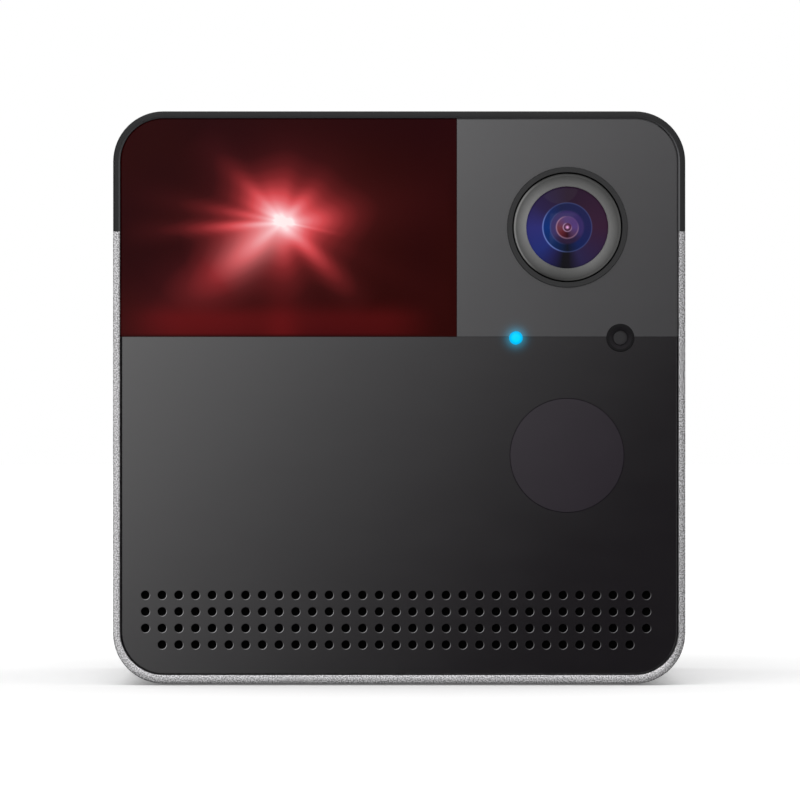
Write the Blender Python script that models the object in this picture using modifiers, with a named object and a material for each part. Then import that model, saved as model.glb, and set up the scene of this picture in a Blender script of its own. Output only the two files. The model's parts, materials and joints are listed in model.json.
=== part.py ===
"""Square table-top pet camera with a steerable laser pointer.

The front faces -Y, +X is the viewer's right and +Z is up. The origin is under the middle of the
rubber foot. Sizes are in metres. Places on the front are measured from the middle of the body:
names ending in _X run to the right and names ending in _UP run upwards.
"""
import math

import bmesh
import bpy
from mathutils import Matrix

# Body
BODY_WIDTH = 0.0740
BODY_HEIGHT = 0.0740
BODY_DEPTH = 0.0810
BODY_CORNER = 0.0065
SIDE_WALL = 0.0009
TOP_WALL = 0.0009
FLOOR_WALL = 0.0013
VISOR_DROP = 0.0155
VISOR_DEPTH = 0.0100

# Clearances shared by pieces that seat on or pass through each other
SEAT = 0.0003
SEAM = 0.0001
PANE_GAP = 0.0002
SCREW_CLEAR = 0.00015
OVERRUN = 0.0010

# Corner ribs of the sleeve and their screws
RIB_INSET = 0.0050
RIB_WIDTH = 0.0048
RIB_HOLE = 0.0010
TOP_RIB_LENGTH = 0.0200
CORNER_SCREW_LENGTH = 0.0130
CORNER_SCREW_HEAD = 0.0019
CORNER_SCREW_HEAD_THICK = 0.0009
CORNER_BOSS = 0.0024
HEX_DRIVE = 0.0008
HEX_DEPTH = 0.0005

# Front panes
PANE_RECESS = 0.0002
PANE_THICK = 0.0016
LOWER_PANE_SHARE = 0.607143

# Sound holes in the lower pane
HOLE_RADIUS = 0.00053
HOLE_PITCH = 0.00216
HOLE_ROW_PITCH = 0.00214
HOLE_FIELD_X = -0.00043
HOLE_SIDE_MARGIN = 0.0030
HOLE_FLOOR_MARGIN = 0.00353
HOLE_ROWS = 4
LAST_ROW_FEWER = 2
MESH_MARGIN = 0.0008
MESH_THICK = 0.0003
MESH_CLEAR = 0.00015

# Front frame
FRAME_PLATE = 0.0020
FRAME_SKIRT = 0.0012
LASER_OPENING_MARGIN = 0.0018
SLOT_COUNT = 8
SLOT_BRIDGE = 0.0010
SLOT_MARGIN = 0.0002
HEAD_RECESS_DEPTH = 0.0012

# Lens
LENS_INSET = 0.01525
LENS_LIFT = 0.000125
LENS_TO_WINDOW = 0.0143
LENS_HEAD = 0.0070
LENS_BODY = 0.0060
LENS_BEVEL_DEPTH = 0.0007
LENS_GLASS = 0.0053
LENS_GLASS_SEAT_DEPTH = 0.0033
LENS_GLASS_EDGE = 0.0009
LENS_GLASS_DOME = 0.0010
LENS_BORE = 0.0045
LENS_REAR_BORE = 0.0032
LENS_REAR_SHELF = 0.0033
LENS_THREAD_LENGTH = 0.0085
APERTURE_FRONT = 0.00317
APERTURE_STOP = 0.00142
APERTURE_THICK = 0.0030
REAR_ELEMENT_THICK = 0.0014
LENS_FIT = 0.00015
TRIM_OUTER = 0.00775
TRIM_INNER = 0.00712

# Lens holder with the night filter
HOLDER_TUBE = 0.0082
HOLDER_BACKSTOP = 0.0008
HOLDER_APERTURE = 0.0036
HOLDER_BLOCK_DEPTH = 0.0060
HOLDER_WALL = 0.0012
HOLDER_CHEEK = 0.0040
FILTER_WINDOW = 0.0062
FILTER_BRIDGE = 0.0010
FILTER_END_RIM = 0.0008
FILTER_SIDE_RIM = 0.0016
FILTER_FRAME_THICK = 0.0012
FILTER_GLASS_THICK = 0.0006
FILTER_DEPTH_IN_BLOCK = 0.0024
COIL_RADIUS = 0.0022
COIL_LENGTH = 0.0070
SENSOR_CHIP_WIDTH = 0.0072
SENSOR_CHIP_HEIGHT = 0.0062
SENSOR_CHIP_THICK = 0.0010
CAMERA_BOARD_THICK = 0.0012
CAMERA_BOARD_RIM = 0.0020
CAMERA_SCREW_END_INSET = 0.0023
CAMERA_SCREW_TOP_INSET = 0.0020
CAMERA_SCREW_RADIUS = 0.0008
CAMERA_SCREW_HEAD = 0.0015
CAMERA_SCREW_HEAD_THICK = 0.0010
CAMERA_SCREW_BITE = 0.0040
CAMERA_BOSS = 0.0020

# Status light, light sensor, infrared lamps and their board
LIGHTS_DROP = 0.00015
PIPE_OFFSET = 0.00665
PIPE_RADIUS = 0.00085
HOOD_OFFSET = 0.00685
HOOD_RADIUS = 0.00179
HOOD_MOUTH = 0.00140
HOOD_BORE = 0.00095
HOOD_FUNNEL_DEPTH = 0.0010
LIGHT_SENSOR_ROD = 0.00080
LIGHT_SENSOR_BASE = 0.0014
IR_OFFSET = 0.00005
IR_LIFT = 0.00135
IR_WINDOW_RADIUS = 0.0074
IR_OPENING = 0.0068
IR_LAMP_RADIUS = 0.0025
IR_LAMP_RIM = 0.0028
IR_LAMP_RIM_THICK = 0.0008
IR_LAMP_OFFSET = 0.0032
SENSOR_BOARD_STANDOFF = 0.0023
SENSOR_BOARD_THICK = 0.0010
SENSOR_BOARD_MARGIN = 0.0036
SENSOR_BOARD_SIDE_GAP = 0.0007
SENSOR_BOARD_RISE = 0.0025
SENSOR_BOARD_BOSS_GAP = 0.0004
CHIP_THICK = 0.0013
CHIP_SIDE = 0.0018
MICROPHONE_OFFSET = 0.0037
MICROPHONE_DROP = 0.00125
MICROPHONE_SIDE = 0.0038
POST_RADIUS = 0.0016
POST_PIN = 0.0008
POST_PIN_STAND = 0.0005
POST_SIDE_INSET = 0.0025
UPPER_POST_DROP = 0.0087
LOWER_POST_RISE = 0.0107

# Loudspeaker
SPEAKER_FLOOR_GAP = 0.0005
SPEAKER_ROOM_SHARE = 0.5923
SPEAKER_SHIFT = 0.0004
SPEAKER_RIM = 0.0015
SPEAKER_RIM_DEPTH = 0.0020
SPEAKER_BASKET_DEPTH = 0.0060
SPEAKER_WAIST_SHARE = 0.75
SPEAKER_WALL = 0.0010
MAGNET_INSET = 0.0010
MAGNET_THICK = 0.0050
MAGNET_POLE_SHARE = 0.35
MAGNET_GAP_SHARE = 0.20
MAGNET_GAP_DEPTH = 0.0035
CONE_THICK = 0.0005
CONE_DEPTH = 0.0022
CONE_DOME = 0.0010
CONE_FRONT_ROOM = 0.0011
COIL_FORMER_THICK = 0.0006
CONE_TRAVEL = 0.0005

# Laser pointer: pan and tilt drive
LASER_INSET = 0.0220
LASER_LIFT = 0.000825
LASER_DEPTH = 0.0155
LASER_RADIUS = 0.0030
LASER_LENGTH = 0.0120
LASER_MOUTH = 0.0018
LASER_MOUTH_DEPTH = 0.0022
LASER_LENS_THICK = 0.0012
CRADLE_RADIUS = 0.0042
CRADLE_LENGTH = 0.0050
TRUNNION = 0.0009
TRUNNION_CLEAR = 0.0002
ARM_INNER = 0.0056
ARM_THICK = 0.0014
ARM_WIDTH = 0.0050
ARM_HEAD = 0.0028
GEAR_MODULE = 0.0004
GEAR_TEETH = 42
PINION_TEETH = 12
GEAR_EXTRA = 0.00008
GEAR_THICK = 0.0013
GEAR_HUB = 0.0022
TILT_TEETH_EACH_SIDE = 4
PAN_TEETH_EACH_SIDE = 5
YOKE_DISC = 0.0076
YOKE_PLATE = 0.0015
HUB_PIN = 0.0020
TILT_MOTOR_RADIUS = 0.0030
TILT_MOTOR_LENGTH = 0.0096
PAN_MOTOR_RADIUS = 0.0040
PAN_MOTOR_LENGTH = 0.0090
SHAFT_RADIUS = 0.00075
SHAFT_CLEAR = 0.00025
SHAFT_BOSS_CLEAR = 0.0001
BRACKET_HALF_WIDTH = 0.0120
BRACKET_PLATE = 0.0020
BRACKET_FLANGE = 0.0015
FLANGE_ROOM_SHARE = 0.2715
BRACKET_MARGIN = 0.0055
BRACKET_SCREW_OFFSET = 0.0080
BRACKET_SCREW_RADIUS = 0.0007
BRACKET_SCREW_HEAD = 0.0014
BRACKET_SCREW_HEAD_THICK = 0.0010
GUSSET_THICK = 0.0012
GUSSET_REACH = 0.0080

# Floor, foot and tripod thread
FOOT_STAND = 0.0005
FOOT_THICK = 0.0008
FOOT_SIDE_INSET = 0.0080
FOOT_END_INSET = 0.0085
FOOT_CORNER = 0.0040
INSERT_RADIUS = 0.0050
INSERT_BORE = 0.003175
INSERT_HEIGHT = 0.0075
INSERT_LIFT = 0.0001
INSERT_BOSS = 0.0074
BASE_RIB_GAP = 0.0050
BASE_FRAME_GAP = 0.0135
BASE_LIP_GAP = 0.0025
BASE_PLATE_THICK = 0.0018

# Main board and what it carries
BOARD_SIDE_GAP = 0.0061
BOARD_OVERHANG = 0.0010
BOARD_REAR_GAP = 0.0034
BOARD_THICK = 0.0016
BOARD_LIFT = 0.0085
BOARD_POST = 0.0022
BOARD_POST_INSET = 0.0050
HEAT_SINK_X = 0.0090
HEAT_SINK_FROM_FRONT = 0.0220
HEAT_SINK_SIDE = 0.0180
HEAT_SINK_BASE = 0.0016
HEAT_SINK_HEIGHT = 0.0090
HEAT_SINK_FINS = 5
HEAT_SINK_FIN = 0.0013
WIRELESS_X = -0.0110
WIRELESS_PIN_GAP = 0.0007
WIRELESS_LENGTH = 0.0160
WIRELESS_WIDTH = 0.0120
WIRELESS_THICK = 0.0024
CAN_X = -0.0200
CAN_FROM_REAR = 0.0145
CAN_RADIUS = 0.0032
CAN_HEIGHT = 0.0080
COIL_BLOCK_X = -0.0080
COIL_BLOCK_FROM_REAR = 0.0155
COIL_BLOCK_SIDE = 0.0070
COIL_BLOCK_HEIGHT = 0.0035
ANTENNA_LEFT_X = -0.0160
ANTENNA_RIGHT_X = 0.0040
ANTENNA_THICK = 0.0003
ANTENNA_DEPTH = 0.0050

# Back cover, power socket and reset button
COVER_FLANGE = 0.0018
COVER_PANEL = 0.0016
COVER_LIP = 0.0032
COVER_LIP_WALL = 0.0012
COUNTERBORE = 0.0021
COUNTERBORE_DEPTH = 0.0013
VENT_COUNT = 8
VENT_WIDTH = 0.0020
VENT_HEIGHT = 0.0160
VENT_PITCH = 0.0050
VENT_BOTTOM_UP = 0.0030
SOCKET_WIDTH = 0.0090
SOCKET_HEIGHT = 0.0032
SOCKET_LENGTH = 0.0074
SOCKET_SHELL = 0.0003
SOCKET_TONGUE_WIDTH = 0.0067
SOCKET_TONGUE_THICK = 0.0007
SOCKET_BACK_WALL = 0.0010
PLUG_WIDTH = 0.0115
PLUG_HEIGHT = 0.0055
PLUG_CORNER = 0.0026
SWITCH_WIDTH = 0.0050
SWITCH_LENGTH = 0.0038
SWITCH_HEIGHT = 0.0036
BUTTON_FROM_BOARD_EDGE = 0.0140
BUTTON_RADIUS = 0.0013
BUTTON_CLEAR = 0.0002
BUTTON_FLANGE = 0.0020
BUTTON_FLANGE_THICK = 0.0010
BUTTON_TRAVEL = 0.0004
BUTTON_RECESS = 0.0003

# Places worked out from the sizes above
FRONT_Y = -BODY_DEPTH / 2
BACK_Y = BODY_DEPTH / 2
BODY_BOTTOM = FOOT_STAND
BODY_TOP = FOOT_STAND + BODY_HEIGHT
MID_Z = (BODY_BOTTOM + BODY_TOP) / 2
HALF_WIDTH = BODY_WIDTH / 2
INNER_HALF = HALF_WIDTH - SIDE_WALL
INNER_TOP = BODY_TOP - TOP_WALL
INNER_BOTTOM = BODY_BOTTOM + FLOOR_WALL
INNER_CORNER = BODY_CORNER - SIDE_WALL
VISOR_BOTTOM = BODY_TOP - VISOR_DROP
SLEEVE_REAR = BACK_Y - COVER_FLANGE - SEAT

PANE_HALF = INNER_HALF - PANE_GAP
PANE_TOP = INNER_TOP - PANE_GAP
PANE_BOTTOM = INNER_BOTTOM + PANE_GAP
PANE_CORNER = INNER_CORNER - PANE_GAP
PANE_FRONT = FRONT_Y + PANE_RECESS
PANE_BACK = PANE_FRONT + PANE_THICK
SEAM_Z = PANE_BOTTOM + LOWER_PANE_SHARE * (PANE_TOP - PANE_BOTTOM)
UPPER_PANES_Z = (SEAM_Z + PANE_TOP) / 2
LENS_X = HALF_WIDTH - LENS_INSET
LENS_Z = UPPER_PANES_Z + LENS_LIFT
WINDOW_RIGHT_X = LENS_X - LENS_TO_WINDOW

FRAME_FRONT = PANE_BACK + SEAT
FRAME_BACK = FRAME_FRONT + FRAME_PLATE
FRAME_REAR = FRONT_Y + VISOR_DEPTH
BEHIND_FRAME = FRAME_BACK + SEAT
FRAME_INSIDE_HALF = PANE_HALF - FRAME_SKIRT
FRAME_INSIDE_BOTTOM = PANE_BOTTOM + FRAME_SKIRT
FRAME_INSIDE_TOP = PANE_TOP - FRAME_SKIRT

LIP_FRONT = BACK_Y - COVER_FLANGE - COVER_LIP
RIB_FRONT = FRAME_REAR + SEAT
RIB_REAR = LIP_FRONT - SEAT
RIB_X = HALF_WIDTH - RIB_INSET
RIB_BOTTOM_Z = BODY_BOTTOM + RIB_INSET
CORNER_SCREW_RADIUS = RIB_HOLE - SCREW_CLEAR
CORNER_SCREW_HOLE = CORNER_SCREW_RADIUS + SCREW_CLEAR

HOLE_BOTTOM_Z = PANE_BOTTOM + HOLE_FLOOR_MARGIN
HOLE_TOP_Z = HOLE_BOTTOM_Z + HOLE_ROW_PITCH * (HOLE_ROWS - 1)
HOLE_COLUMNS = 1 + math.floor(2 * (PANE_HALF - HOLE_SIDE_MARGIN) / HOLE_PITCH)
SLOT_FIELD_HALF = RIB_X - COUNTERBORE - 2 * MESH_MARGIN
MESH_FRONT = PANE_BACK + MESH_CLEAR
MESH_BACK = MESH_FRONT + MESH_THICK

LENS_FRONT = PANE_FRONT
LENS_SHELF = LENS_FRONT + LENS_GLASS_SEAT_DEPTH
LENS_HEAD_REAR = FRAME_BACK
LENS_REAR = LENS_HEAD_REAR + LENS_THREAD_LENGTH
HOLDER_BORE = LENS_BODY + LENS_FIT
HOLDER_STOP = LENS_REAR + SEAT
HOLDER_FRONT = BEHIND_FRAME
CAVITY_FRONT = HOLDER_STOP + HOLDER_BACKSTOP
BLOCK_FRONT = CAVITY_FRONT - HOLDER_WALL
BLOCK_REAR = BLOCK_FRONT + HOLDER_BLOCK_DEPTH
FILTER_TRAVEL = FILTER_WINDOW + FILTER_BRIDGE
FILTER_FRAME_LENGTH = FILTER_TRAVEL + FILTER_WINDOW + 2 * FILTER_END_RIM
FILTER_FRAME_HEIGHT = FILTER_WINDOW + 2 * FILTER_SIDE_RIM
FILTER_REST_X = LENS_X - FILTER_TRAVEL / 2
CAVITY_HALF = (FILTER_TRAVEL + FILTER_FRAME_LENGTH) / 2 + SEAT
CAVITY_HALF_HEIGHT = FILTER_FRAME_HEIGHT / 2 + SEAT
BLOCK_HALF = CAVITY_HALF + HOLDER_WALL
BLOCK_HALF_HEIGHT = CAVITY_HALF_HEIGHT + HOLDER_CHEEK
CAMERA_SCREW_X = BLOCK_HALF - CAMERA_SCREW_END_INSET
CAMERA_SCREW_UP = BLOCK_HALF_HEIGHT - CAMERA_SCREW_TOP_INSET
FILTER_FRONT = BLOCK_FRONT + FILTER_DEPTH_IN_BLOCK
FILTER_BACK = FILTER_FRONT + FILTER_FRAME_THICK
CAMERA_BOARD_FRONT = BLOCK_REAR + SEAT
CAMERA_BOARD_BACK = CAMERA_BOARD_FRONT + CAMERA_BOARD_THICK
CAMERA_BOARD_HALF_HEIGHT = BLOCK_HALF_HEIGHT + CAMERA_BOARD_RIM
CAMERA_SCREW_HOLE = CAMERA_SCREW_RADIUS + SCREW_CLEAR
CAMERA_BOSS_REAR = BLOCK_FRONT - SEAT

PIPE_X = LENS_X - PIPE_OFFSET
PIPE_Z = SEAM_Z - LIGHTS_DROP
HOOD_X = LENS_X + HOOD_OFFSET
HOOD_Z = PIPE_Z
IR_X = LENS_X - IR_OFFSET
IR_Z = (SEAM_Z + HOLE_TOP_Z) / 2 + IR_LIFT
SENSOR_BOARD_LEFT = PIPE_X - SENSOR_BOARD_MARGIN
SENSOR_BOARD_RIGHT = FRAME_INSIDE_HALF - SENSOR_BOARD_SIDE_GAP
SENSOR_BOARD_TOP = PIPE_Z + SENSOR_BOARD_RISE
SENSOR_BOARD_BOTTOM = RIB_BOTTOM_Z + CORNER_BOSS + SENSOR_BOARD_BOSS_GAP
MICROPHONE_X = IR_X + MICROPHONE_OFFSET
MICROPHONE_Z = HOLE_TOP_Z - MICROPHONE_DROP
SENSOR_BOARD_FRONT = FRAME_BACK + SENSOR_BOARD_STANDOFF
SENSOR_BOARD_BACK = SENSOR_BOARD_FRONT + SENSOR_BOARD_THICK
CHIP_BACK = SENSOR_BOARD_FRONT - SEAT
CHIP_FRONT = CHIP_BACK - CHIP_THICK

SPEAKER_FRONT = BEHIND_FRAME
SPEAKER_BACK = SPEAKER_FRONT + SPEAKER_BASKET_DEPTH
MAGNET_FRONT = SPEAKER_BACK + SEAT
MAGNET_BACK = MAGNET_FRONT + MAGNET_THICK

LASER_X = LASER_INSET - HALF_WIDTH
LASER_Z = UPPER_PANES_Z + LASER_LIFT
LASER_Y = FRONT_Y + LASER_DEPTH
GEAR_PITCH_RADIUS = GEAR_TEETH * GEAR_MODULE / 2
PINION_PITCH_RADIUS = PINION_TEETH * GEAR_MODULE / 2
GEAR_DISTANCE = GEAR_PITCH_RADIUS + PINION_PITCH_RADIUS + GEAR_EXTRA
ARM_OUTER = ARM_INNER + ARM_THICK
GEAR_LEFT = ARM_OUTER + SEAT
GEAR_RIGHT = GEAR_LEFT + GEAR_THICK
YOKE_TOP = LASER_Z - GEAR_DISTANCE - TILT_MOTOR_RADIUS - SEAT
YOKE_BOTTOM = YOKE_TOP - YOKE_PLATE
BRACKET_TOP = YOKE_BOTTOM - SEAT
BRACKET_BOTTOM = BRACKET_TOP - BRACKET_PLATE
PAN_SHAFT_Y = LASER_Y + GEAR_DISTANCE
SHAFT_HOLE = SHAFT_RADIUS + SHAFT_CLEAR
PINION_BORE = SHAFT_RADIUS + SHAFT_BOSS_CLEAR

SPEAKER_BOTTOM = FRAME_INSIDE_BOTTOM + SPEAKER_FLOOR_GAP
SPEAKER_ROOM = BRACKET_TOP - SPEAKER_BOTTOM
SPEAKER_RADIUS = SPEAKER_ROOM * SPEAKER_ROOM_SHARE / 2
SPEAKER_Z = SPEAKER_BOTTOM + SPEAKER_RADIUS
BRACKET_FLANGE_DROP = SPEAKER_ROOM * FLANGE_ROOM_SHARE
SPEAKER_X = (SENSOR_BOARD_LEFT - FRAME_INSIDE_HALF) / 2 - SPEAKER_SHIFT
SPEAKER_WAIST = SPEAKER_RADIUS * SPEAKER_WAIST_SHARE
MAGNET_RADIUS = SPEAKER_WAIST - MAGNET_INSET
MAGNET_POLE = MAGNET_RADIUS * MAGNET_POLE_SHARE
MAGNET_GAP = MAGNET_RADIUS * MAGNET_GAP_SHARE

INSERT_BOTTOM = BODY_BOTTOM + INSERT_LIFT
INSERT_TOP = INSERT_BOTTOM + INSERT_HEIGHT
FOOT_WIDTH = BODY_WIDTH - 2 * FOOT_SIDE_INSET
FOOT_DEPTH = BODY_DEPTH - 2 * FOOT_END_INSET
BASE_HALF_WIDTH = RIB_X - BASE_RIB_GAP
BASE_FRONT = FRAME_REAR + BASE_FRAME_GAP
BASE_REAR = LIP_FRONT - BASE_LIP_GAP
BASE_BOTTOM = INNER_BOTTOM + SEAT
BASE_TOP = BASE_BOTTOM + BASE_PLATE_THICK
BOARD_BOTTOM = INNER_BOTTOM + BOARD_LIFT
BOARD_TOP = BOARD_BOTTOM + BOARD_THICK
ON_BOARD = BOARD_TOP + SEAT
POST_TOP = BOARD_BOTTOM - SEAT

COVER_INSIDE = BACK_Y - COVER_PANEL
BOARD_HALF_WIDTH = INNER_HALF - BOARD_SIDE_GAP
BOARD_FRONT = BASE_FRONT - BOARD_OVERHANG
BOARD_REAR = COVER_INSIDE - BOARD_REAR_GAP
HEAT_SINK_Y = BOARD_FRONT + HEAT_SINK_FROM_FRONT
WIRELESS_Y = BASE_FRONT + BOARD_POST_INSET + POST_PIN + WIRELESS_PIN_GAP + WIRELESS_WIDTH / 2
CAN_Y = BOARD_REAR - CAN_FROM_REAR
COIL_BLOCK_Y = BOARD_REAR - COIL_BLOCK_FROM_REAR
BUTTON_X = BOARD_HALF_WIDTH - BUTTON_FROM_BOARD_EDGE
SOCKET_REAR = COVER_INSIDE - SEAT
SOCKET_FRONT = SOCKET_REAR - SOCKET_LENGTH
SOCKET_Z = ON_BOARD + SOCKET_HEIGHT / 2
BUTTON_Z = ON_BOARD + SWITCH_HEIGHT / 2
BUTTON_OUTER = BACK_Y - BUTTON_RECESS
BUTTON_INNER = BOARD_REAR + BUTTON_TRAVEL + SEAT
ROUND_STEPS = 28
SMALL_STEPS = 16
TINY_STEPS = 12
CORNER_STEPS = 6

# Colour, roughness and metallic value of each finish
FINISHES = {
    "bead_blasted_aluminium": ((0.42, 0.42, 0.43), 0.50, 1.0),
    "smoked_gloss": ((0.020, 0.020, 0.022), 0.10, 0.0),
    "red_gloss": ((0.080, 0.004, 0.006), 0.08, 0.0),
    "black_moulding": ((0.030, 0.030, 0.032), 0.55, 0.0),
    "grey_moulding": ((0.130, 0.130, 0.135), 0.50, 0.0),
    "dark_metal": ((0.060, 0.060, 0.062), 0.35, 1.0),
    "lens_glass": ((0.030, 0.030, 0.090), 0.03, 0.0),
    "lamp_glass": ((0.180, 0.150, 0.220), 0.10, 0.0),
    "cyan_light": ((0.000, 0.650, 0.950), 0.30, 0.0),
    "steel": ((0.560, 0.560, 0.570), 0.35, 1.0),
    "brass": ((0.780, 0.570, 0.220), 0.30, 1.0),
    "green_board": ((0.010, 0.120, 0.050), 0.45, 0.0),
    "copper": ((0.720, 0.330, 0.180), 0.35, 1.0),
    "white_moulding": ((0.700, 0.700, 0.680), 0.45, 0.0),
    "rubber": ((0.025, 0.025, 0.025), 0.85, 0.0),
    "paper_cone": ((0.060, 0.058, 0.055), 0.80, 0.0),
}

AXIS_TURNS = {
    "X": Matrix(((0, 0, 1), (1, 0, 0), (0, 1, 0))).to_4x4(),
    "Y": Matrix.Rotation(math.pi / 2, 4, "X"),
    "Z": Matrix.Identity(4),
}
ALL_CORNERS = ((-1, -1), (-1, 1), (1, -1), (1, 1))


def clear_scene():
    """Take every object out of the scene."""
    for obj in list(bpy.data.objects):
        bpy.data.objects.remove(obj, do_unlink=True)


def make_collection(name):
    """Add an empty collection to the scene."""
    collection = bpy.data.collections.new(name)
    bpy.context.scene.collection.children.link(collection)
    return collection


clear_scene()
PARTS = make_collection("pet_camera")
CUTTERS = make_collection("cutters")


def own_material(name, finish):
    """Give a piece a material of its own in one of the finishes."""
    colour, roughness, metallic = FINISHES[finish]
    material = bpy.data.materials.new(name + "_" + finish)
    material.use_nodes = True
    shader = material.node_tree.nodes["Principled BSDF"]
    shader.inputs["Base Color"].default_value = (*colour, 1.0)
    shader.inputs["Roughness"].default_value = roughness
    shader.inputs["Metallic"].default_value = metallic
    return material


def add_object(name, mesh, location, finish):
    """Put a mesh in the scene, as a piece if it has a finish and as a cutter if not."""
    obj = bpy.data.objects.new(name, mesh)
    obj.location = location
    if finish:
        mesh.materials.append(own_material(name, finish))
        mesh.shade_smooth()
        mesh.set_sharp_from_angle(angle=math.radians(35))
        PARTS.objects.link(obj)
    else:
        obj.hide_render = True
        obj.display_type = "WIRE"
        CUTTERS.objects.link(obj)
    return obj


def middle(span):
    """Return the middle of a low and a high value."""
    return (span[0] + span[1]) / 2


def add_block(mesh_data, spans, centre, radius, axis, corners, steps):
    """Add a box to a bmesh, with the listed corners rounded along one axis."""
    made = bmesh.ops.create_cube(mesh_data, size=1)["verts"]
    size = [high - low for low, high in spans]
    bmesh.ops.scale(mesh_data, vec=size, verts=made)
    shift = [middle(span) - place for span, place in zip(spans, centre)]
    if radius:
        along = "XYZ".index(axis)
        across = [i for i in range(len(size)) if i != along]
        edges = []
        for edge in {edge for vert in made for edge in vert.link_edges}:
            ends = edge.verts[0].co - edge.verts[1].co
            spot = edge.verts[0].co
            signs = tuple(1 if spot[i] > 0 else -1 for i in across)
            if abs(ends[along]) > max(abs(ends[i]) for i in across) and signs in corners:
                edges.append(edge)
        bmesh.ops.bevel(mesh_data, geom=edges, offset=radius, segments=steps, profile=0.5,
                        affect="EDGES")
        made = [vert for vert in mesh_data.verts if not vert.tag]
    bmesh.ops.translate(mesh_data, vec=shift, verts=made)
    for vert in mesh_data.verts:
        vert.tag = True


def block(name, spans, finish=None, radius=0, axis="Y", corners=ALL_CORNERS, steps=CORNER_STEPS,
          origin=None):
    """Make a box from its low and high X, Y and Z, with corners rounded along one axis."""
    centre = origin or [middle(span) for span in spans]
    data = bmesh.new()
    add_block(data, spans, centre, radius, axis, corners, steps)
    mesh = bpy.data.meshes.new(name)
    data.to_mesh(mesh)
    data.free()
    return add_object(name, mesh, centre, finish)


def blocks(name, list_of_spans):
    """Make one cutter of several boxes that stand apart."""
    centre = [middle(span) for span in list_of_spans[0]]
    data = bmesh.new()
    for spans in list_of_spans:
        add_block(data, spans, centre, 0, "Y", ALL_CORNERS, 1)
    mesh = bpy.data.meshes.new(name)
    data.to_mesh(mesh)
    data.free()
    return add_object(name, mesh, centre, None)


def rods(name, rod_list, axis, finish=None, steps=SMALL_STEPS, origin=None):
    """Make cylinders along one axis, each given by its centre, radius and length."""
    base = origin or rod_list[0][0]
    data = bmesh.new()
    for centre, radius, length in rod_list:
        shift = Matrix.Translation([centre[i] - base[i] for i in range(len(base))])
        bmesh.ops.create_cone(data, cap_ends=True, segments=steps, radius1=radius,
                              radius2=radius, depth=length, matrix=shift @ AXIS_TURNS[axis])
    mesh = bpy.data.meshes.new(name)
    data.to_mesh(mesh)
    data.free()
    return add_object(name, mesh, base, finish)


def rod_along_y(x, z, radius, front, rear):
    """Describe a cylinder along Y by its two ends."""
    return ((x, (front + rear) / 2, z), radius, rear - front)


def rod_along_z(x, y, radius, low, high):
    """Describe a cylinder along Z by its two ends."""
    return ((x, y, (low + high) / 2), radius, high - low)


def turned(name, profile, x, across, axis, finish, steps=ROUND_STEPS, ring=False):
    """Turn a profile of radius and place, listed down its outer side, about Y or Z.

    About Y the places are Y values from front to back. About Z they are heights, top first.
    """
    start = profile[0][1]
    sign = -1 if axis == "Y" else 1
    mesh = bpy.data.meshes.new(name)
    points = [(radius, 0, sign * (place - start)) for radius, place in profile]
    edges = [(i, i + 1) for i in range(len(points) - 1)]
    if ring:
        edges.append((len(points) - 1, 0))
    mesh.from_pydata(points, edges, [])
    place = (x, start, across) if axis == "Y" else (x, across, start)
    obj = add_object(name, mesh, place, finish)
    if axis == "Y":
        obj.rotation_euler = (math.pi / 2, 0, 0)
    screw = obj.modifiers.new("turn", "SCREW")
    screw.steps = steps
    screw.render_steps = steps
    screw.use_merge_vertices = True
    screw.merge_threshold = 0.00001
    screw.use_smooth_shade = True
    return obj


def flat_outline(name, loops, thickness, axis, centre, finish):
    """Make a flat piece from closed outlines in its own plane, as a welded mesh."""
    curve = bpy.data.curves.new(name, "CURVE")
    curve.dimensions = "2D"
    curve.fill_mode = "BOTH"
    curve.extrude = thickness / 2
    for loop in loops:
        spline = curve.splines.new("POLY")
        spline.points.add(len(loop) - 1)
        for point, (across, up) in zip(spline.points, loop):
            point.co = (across, up, 0, 1)
        spline.use_cyclic_u = True
    drawn = bpy.data.objects.new(name + "_outline", curve)
    CUTTERS.objects.link(drawn)
    bpy.context.view_layer.update()
    graph = bpy.context.evaluated_depsgraph_get()
    mesh = bpy.data.meshes.new_from_object(drawn.evaluated_get(graph))
    bpy.data.objects.remove(drawn, do_unlink=True)
    bpy.data.curves.remove(curve)
    data = bmesh.new()
    data.from_mesh(mesh)
    bmesh.ops.remove_doubles(data, verts=data.verts, dist=SEAM / 10)
    bmesh.ops.transform(data, matrix=AXIS_TURNS[axis], verts=data.verts)
    bmesh.ops.recalc_face_normals(data, faces=data.faces)
    data.to_mesh(mesh)
    data.free()
    mesh.name = name
    mesh.materials.clear()
    return add_object(name, mesh, centre, finish)


def boolean(obj, other, operation):
    """Cut, join or intersect one object with another."""
    modifier = obj.modifiers.new(other.name, "BOOLEAN")
    modifier.operation = operation
    modifier.solver = "EXACT"
    modifier.object = other


def cut(obj, *others):
    """Cut the other shapes out of an object."""
    for other in others:
        boolean(obj, other, "DIFFERENCE")


def join(obj, *others):
    """Join the other shapes to an object."""
    for other in others:
        boolean(obj, other, "UNION")


def joint_empty(name, location, parent=None):
    """Mark a joint's axis with an empty."""
    empty = bpy.data.objects.new(name, None)
    empty.empty_display_size = SPEAKER_RIM
    empty.location = location
    PARTS.objects.link(empty)
    if parent:
        hang(empty, parent)
    return empty


def world_place(obj):
    """Return an empty's place in the world."""
    place = obj.matrix_basis.translation.copy()
    if obj.parent:
        place = obj.matrix_parent_inverse @ place + world_place(obj.parent)
    return place


def hang(obj, parent):
    """Parent an object to an empty without moving it."""
    obj.parent = parent
    obj.matrix_parent_inverse = Matrix.Translation(world_place(parent)).inverted()


def turn_points(points, angle):
    """Turn points of a plane about its origin."""
    cos, sin = math.cos(angle), math.sin(angle)
    return [(x * cos - y * sin, x * sin + y * cos) for x, y in points]


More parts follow.
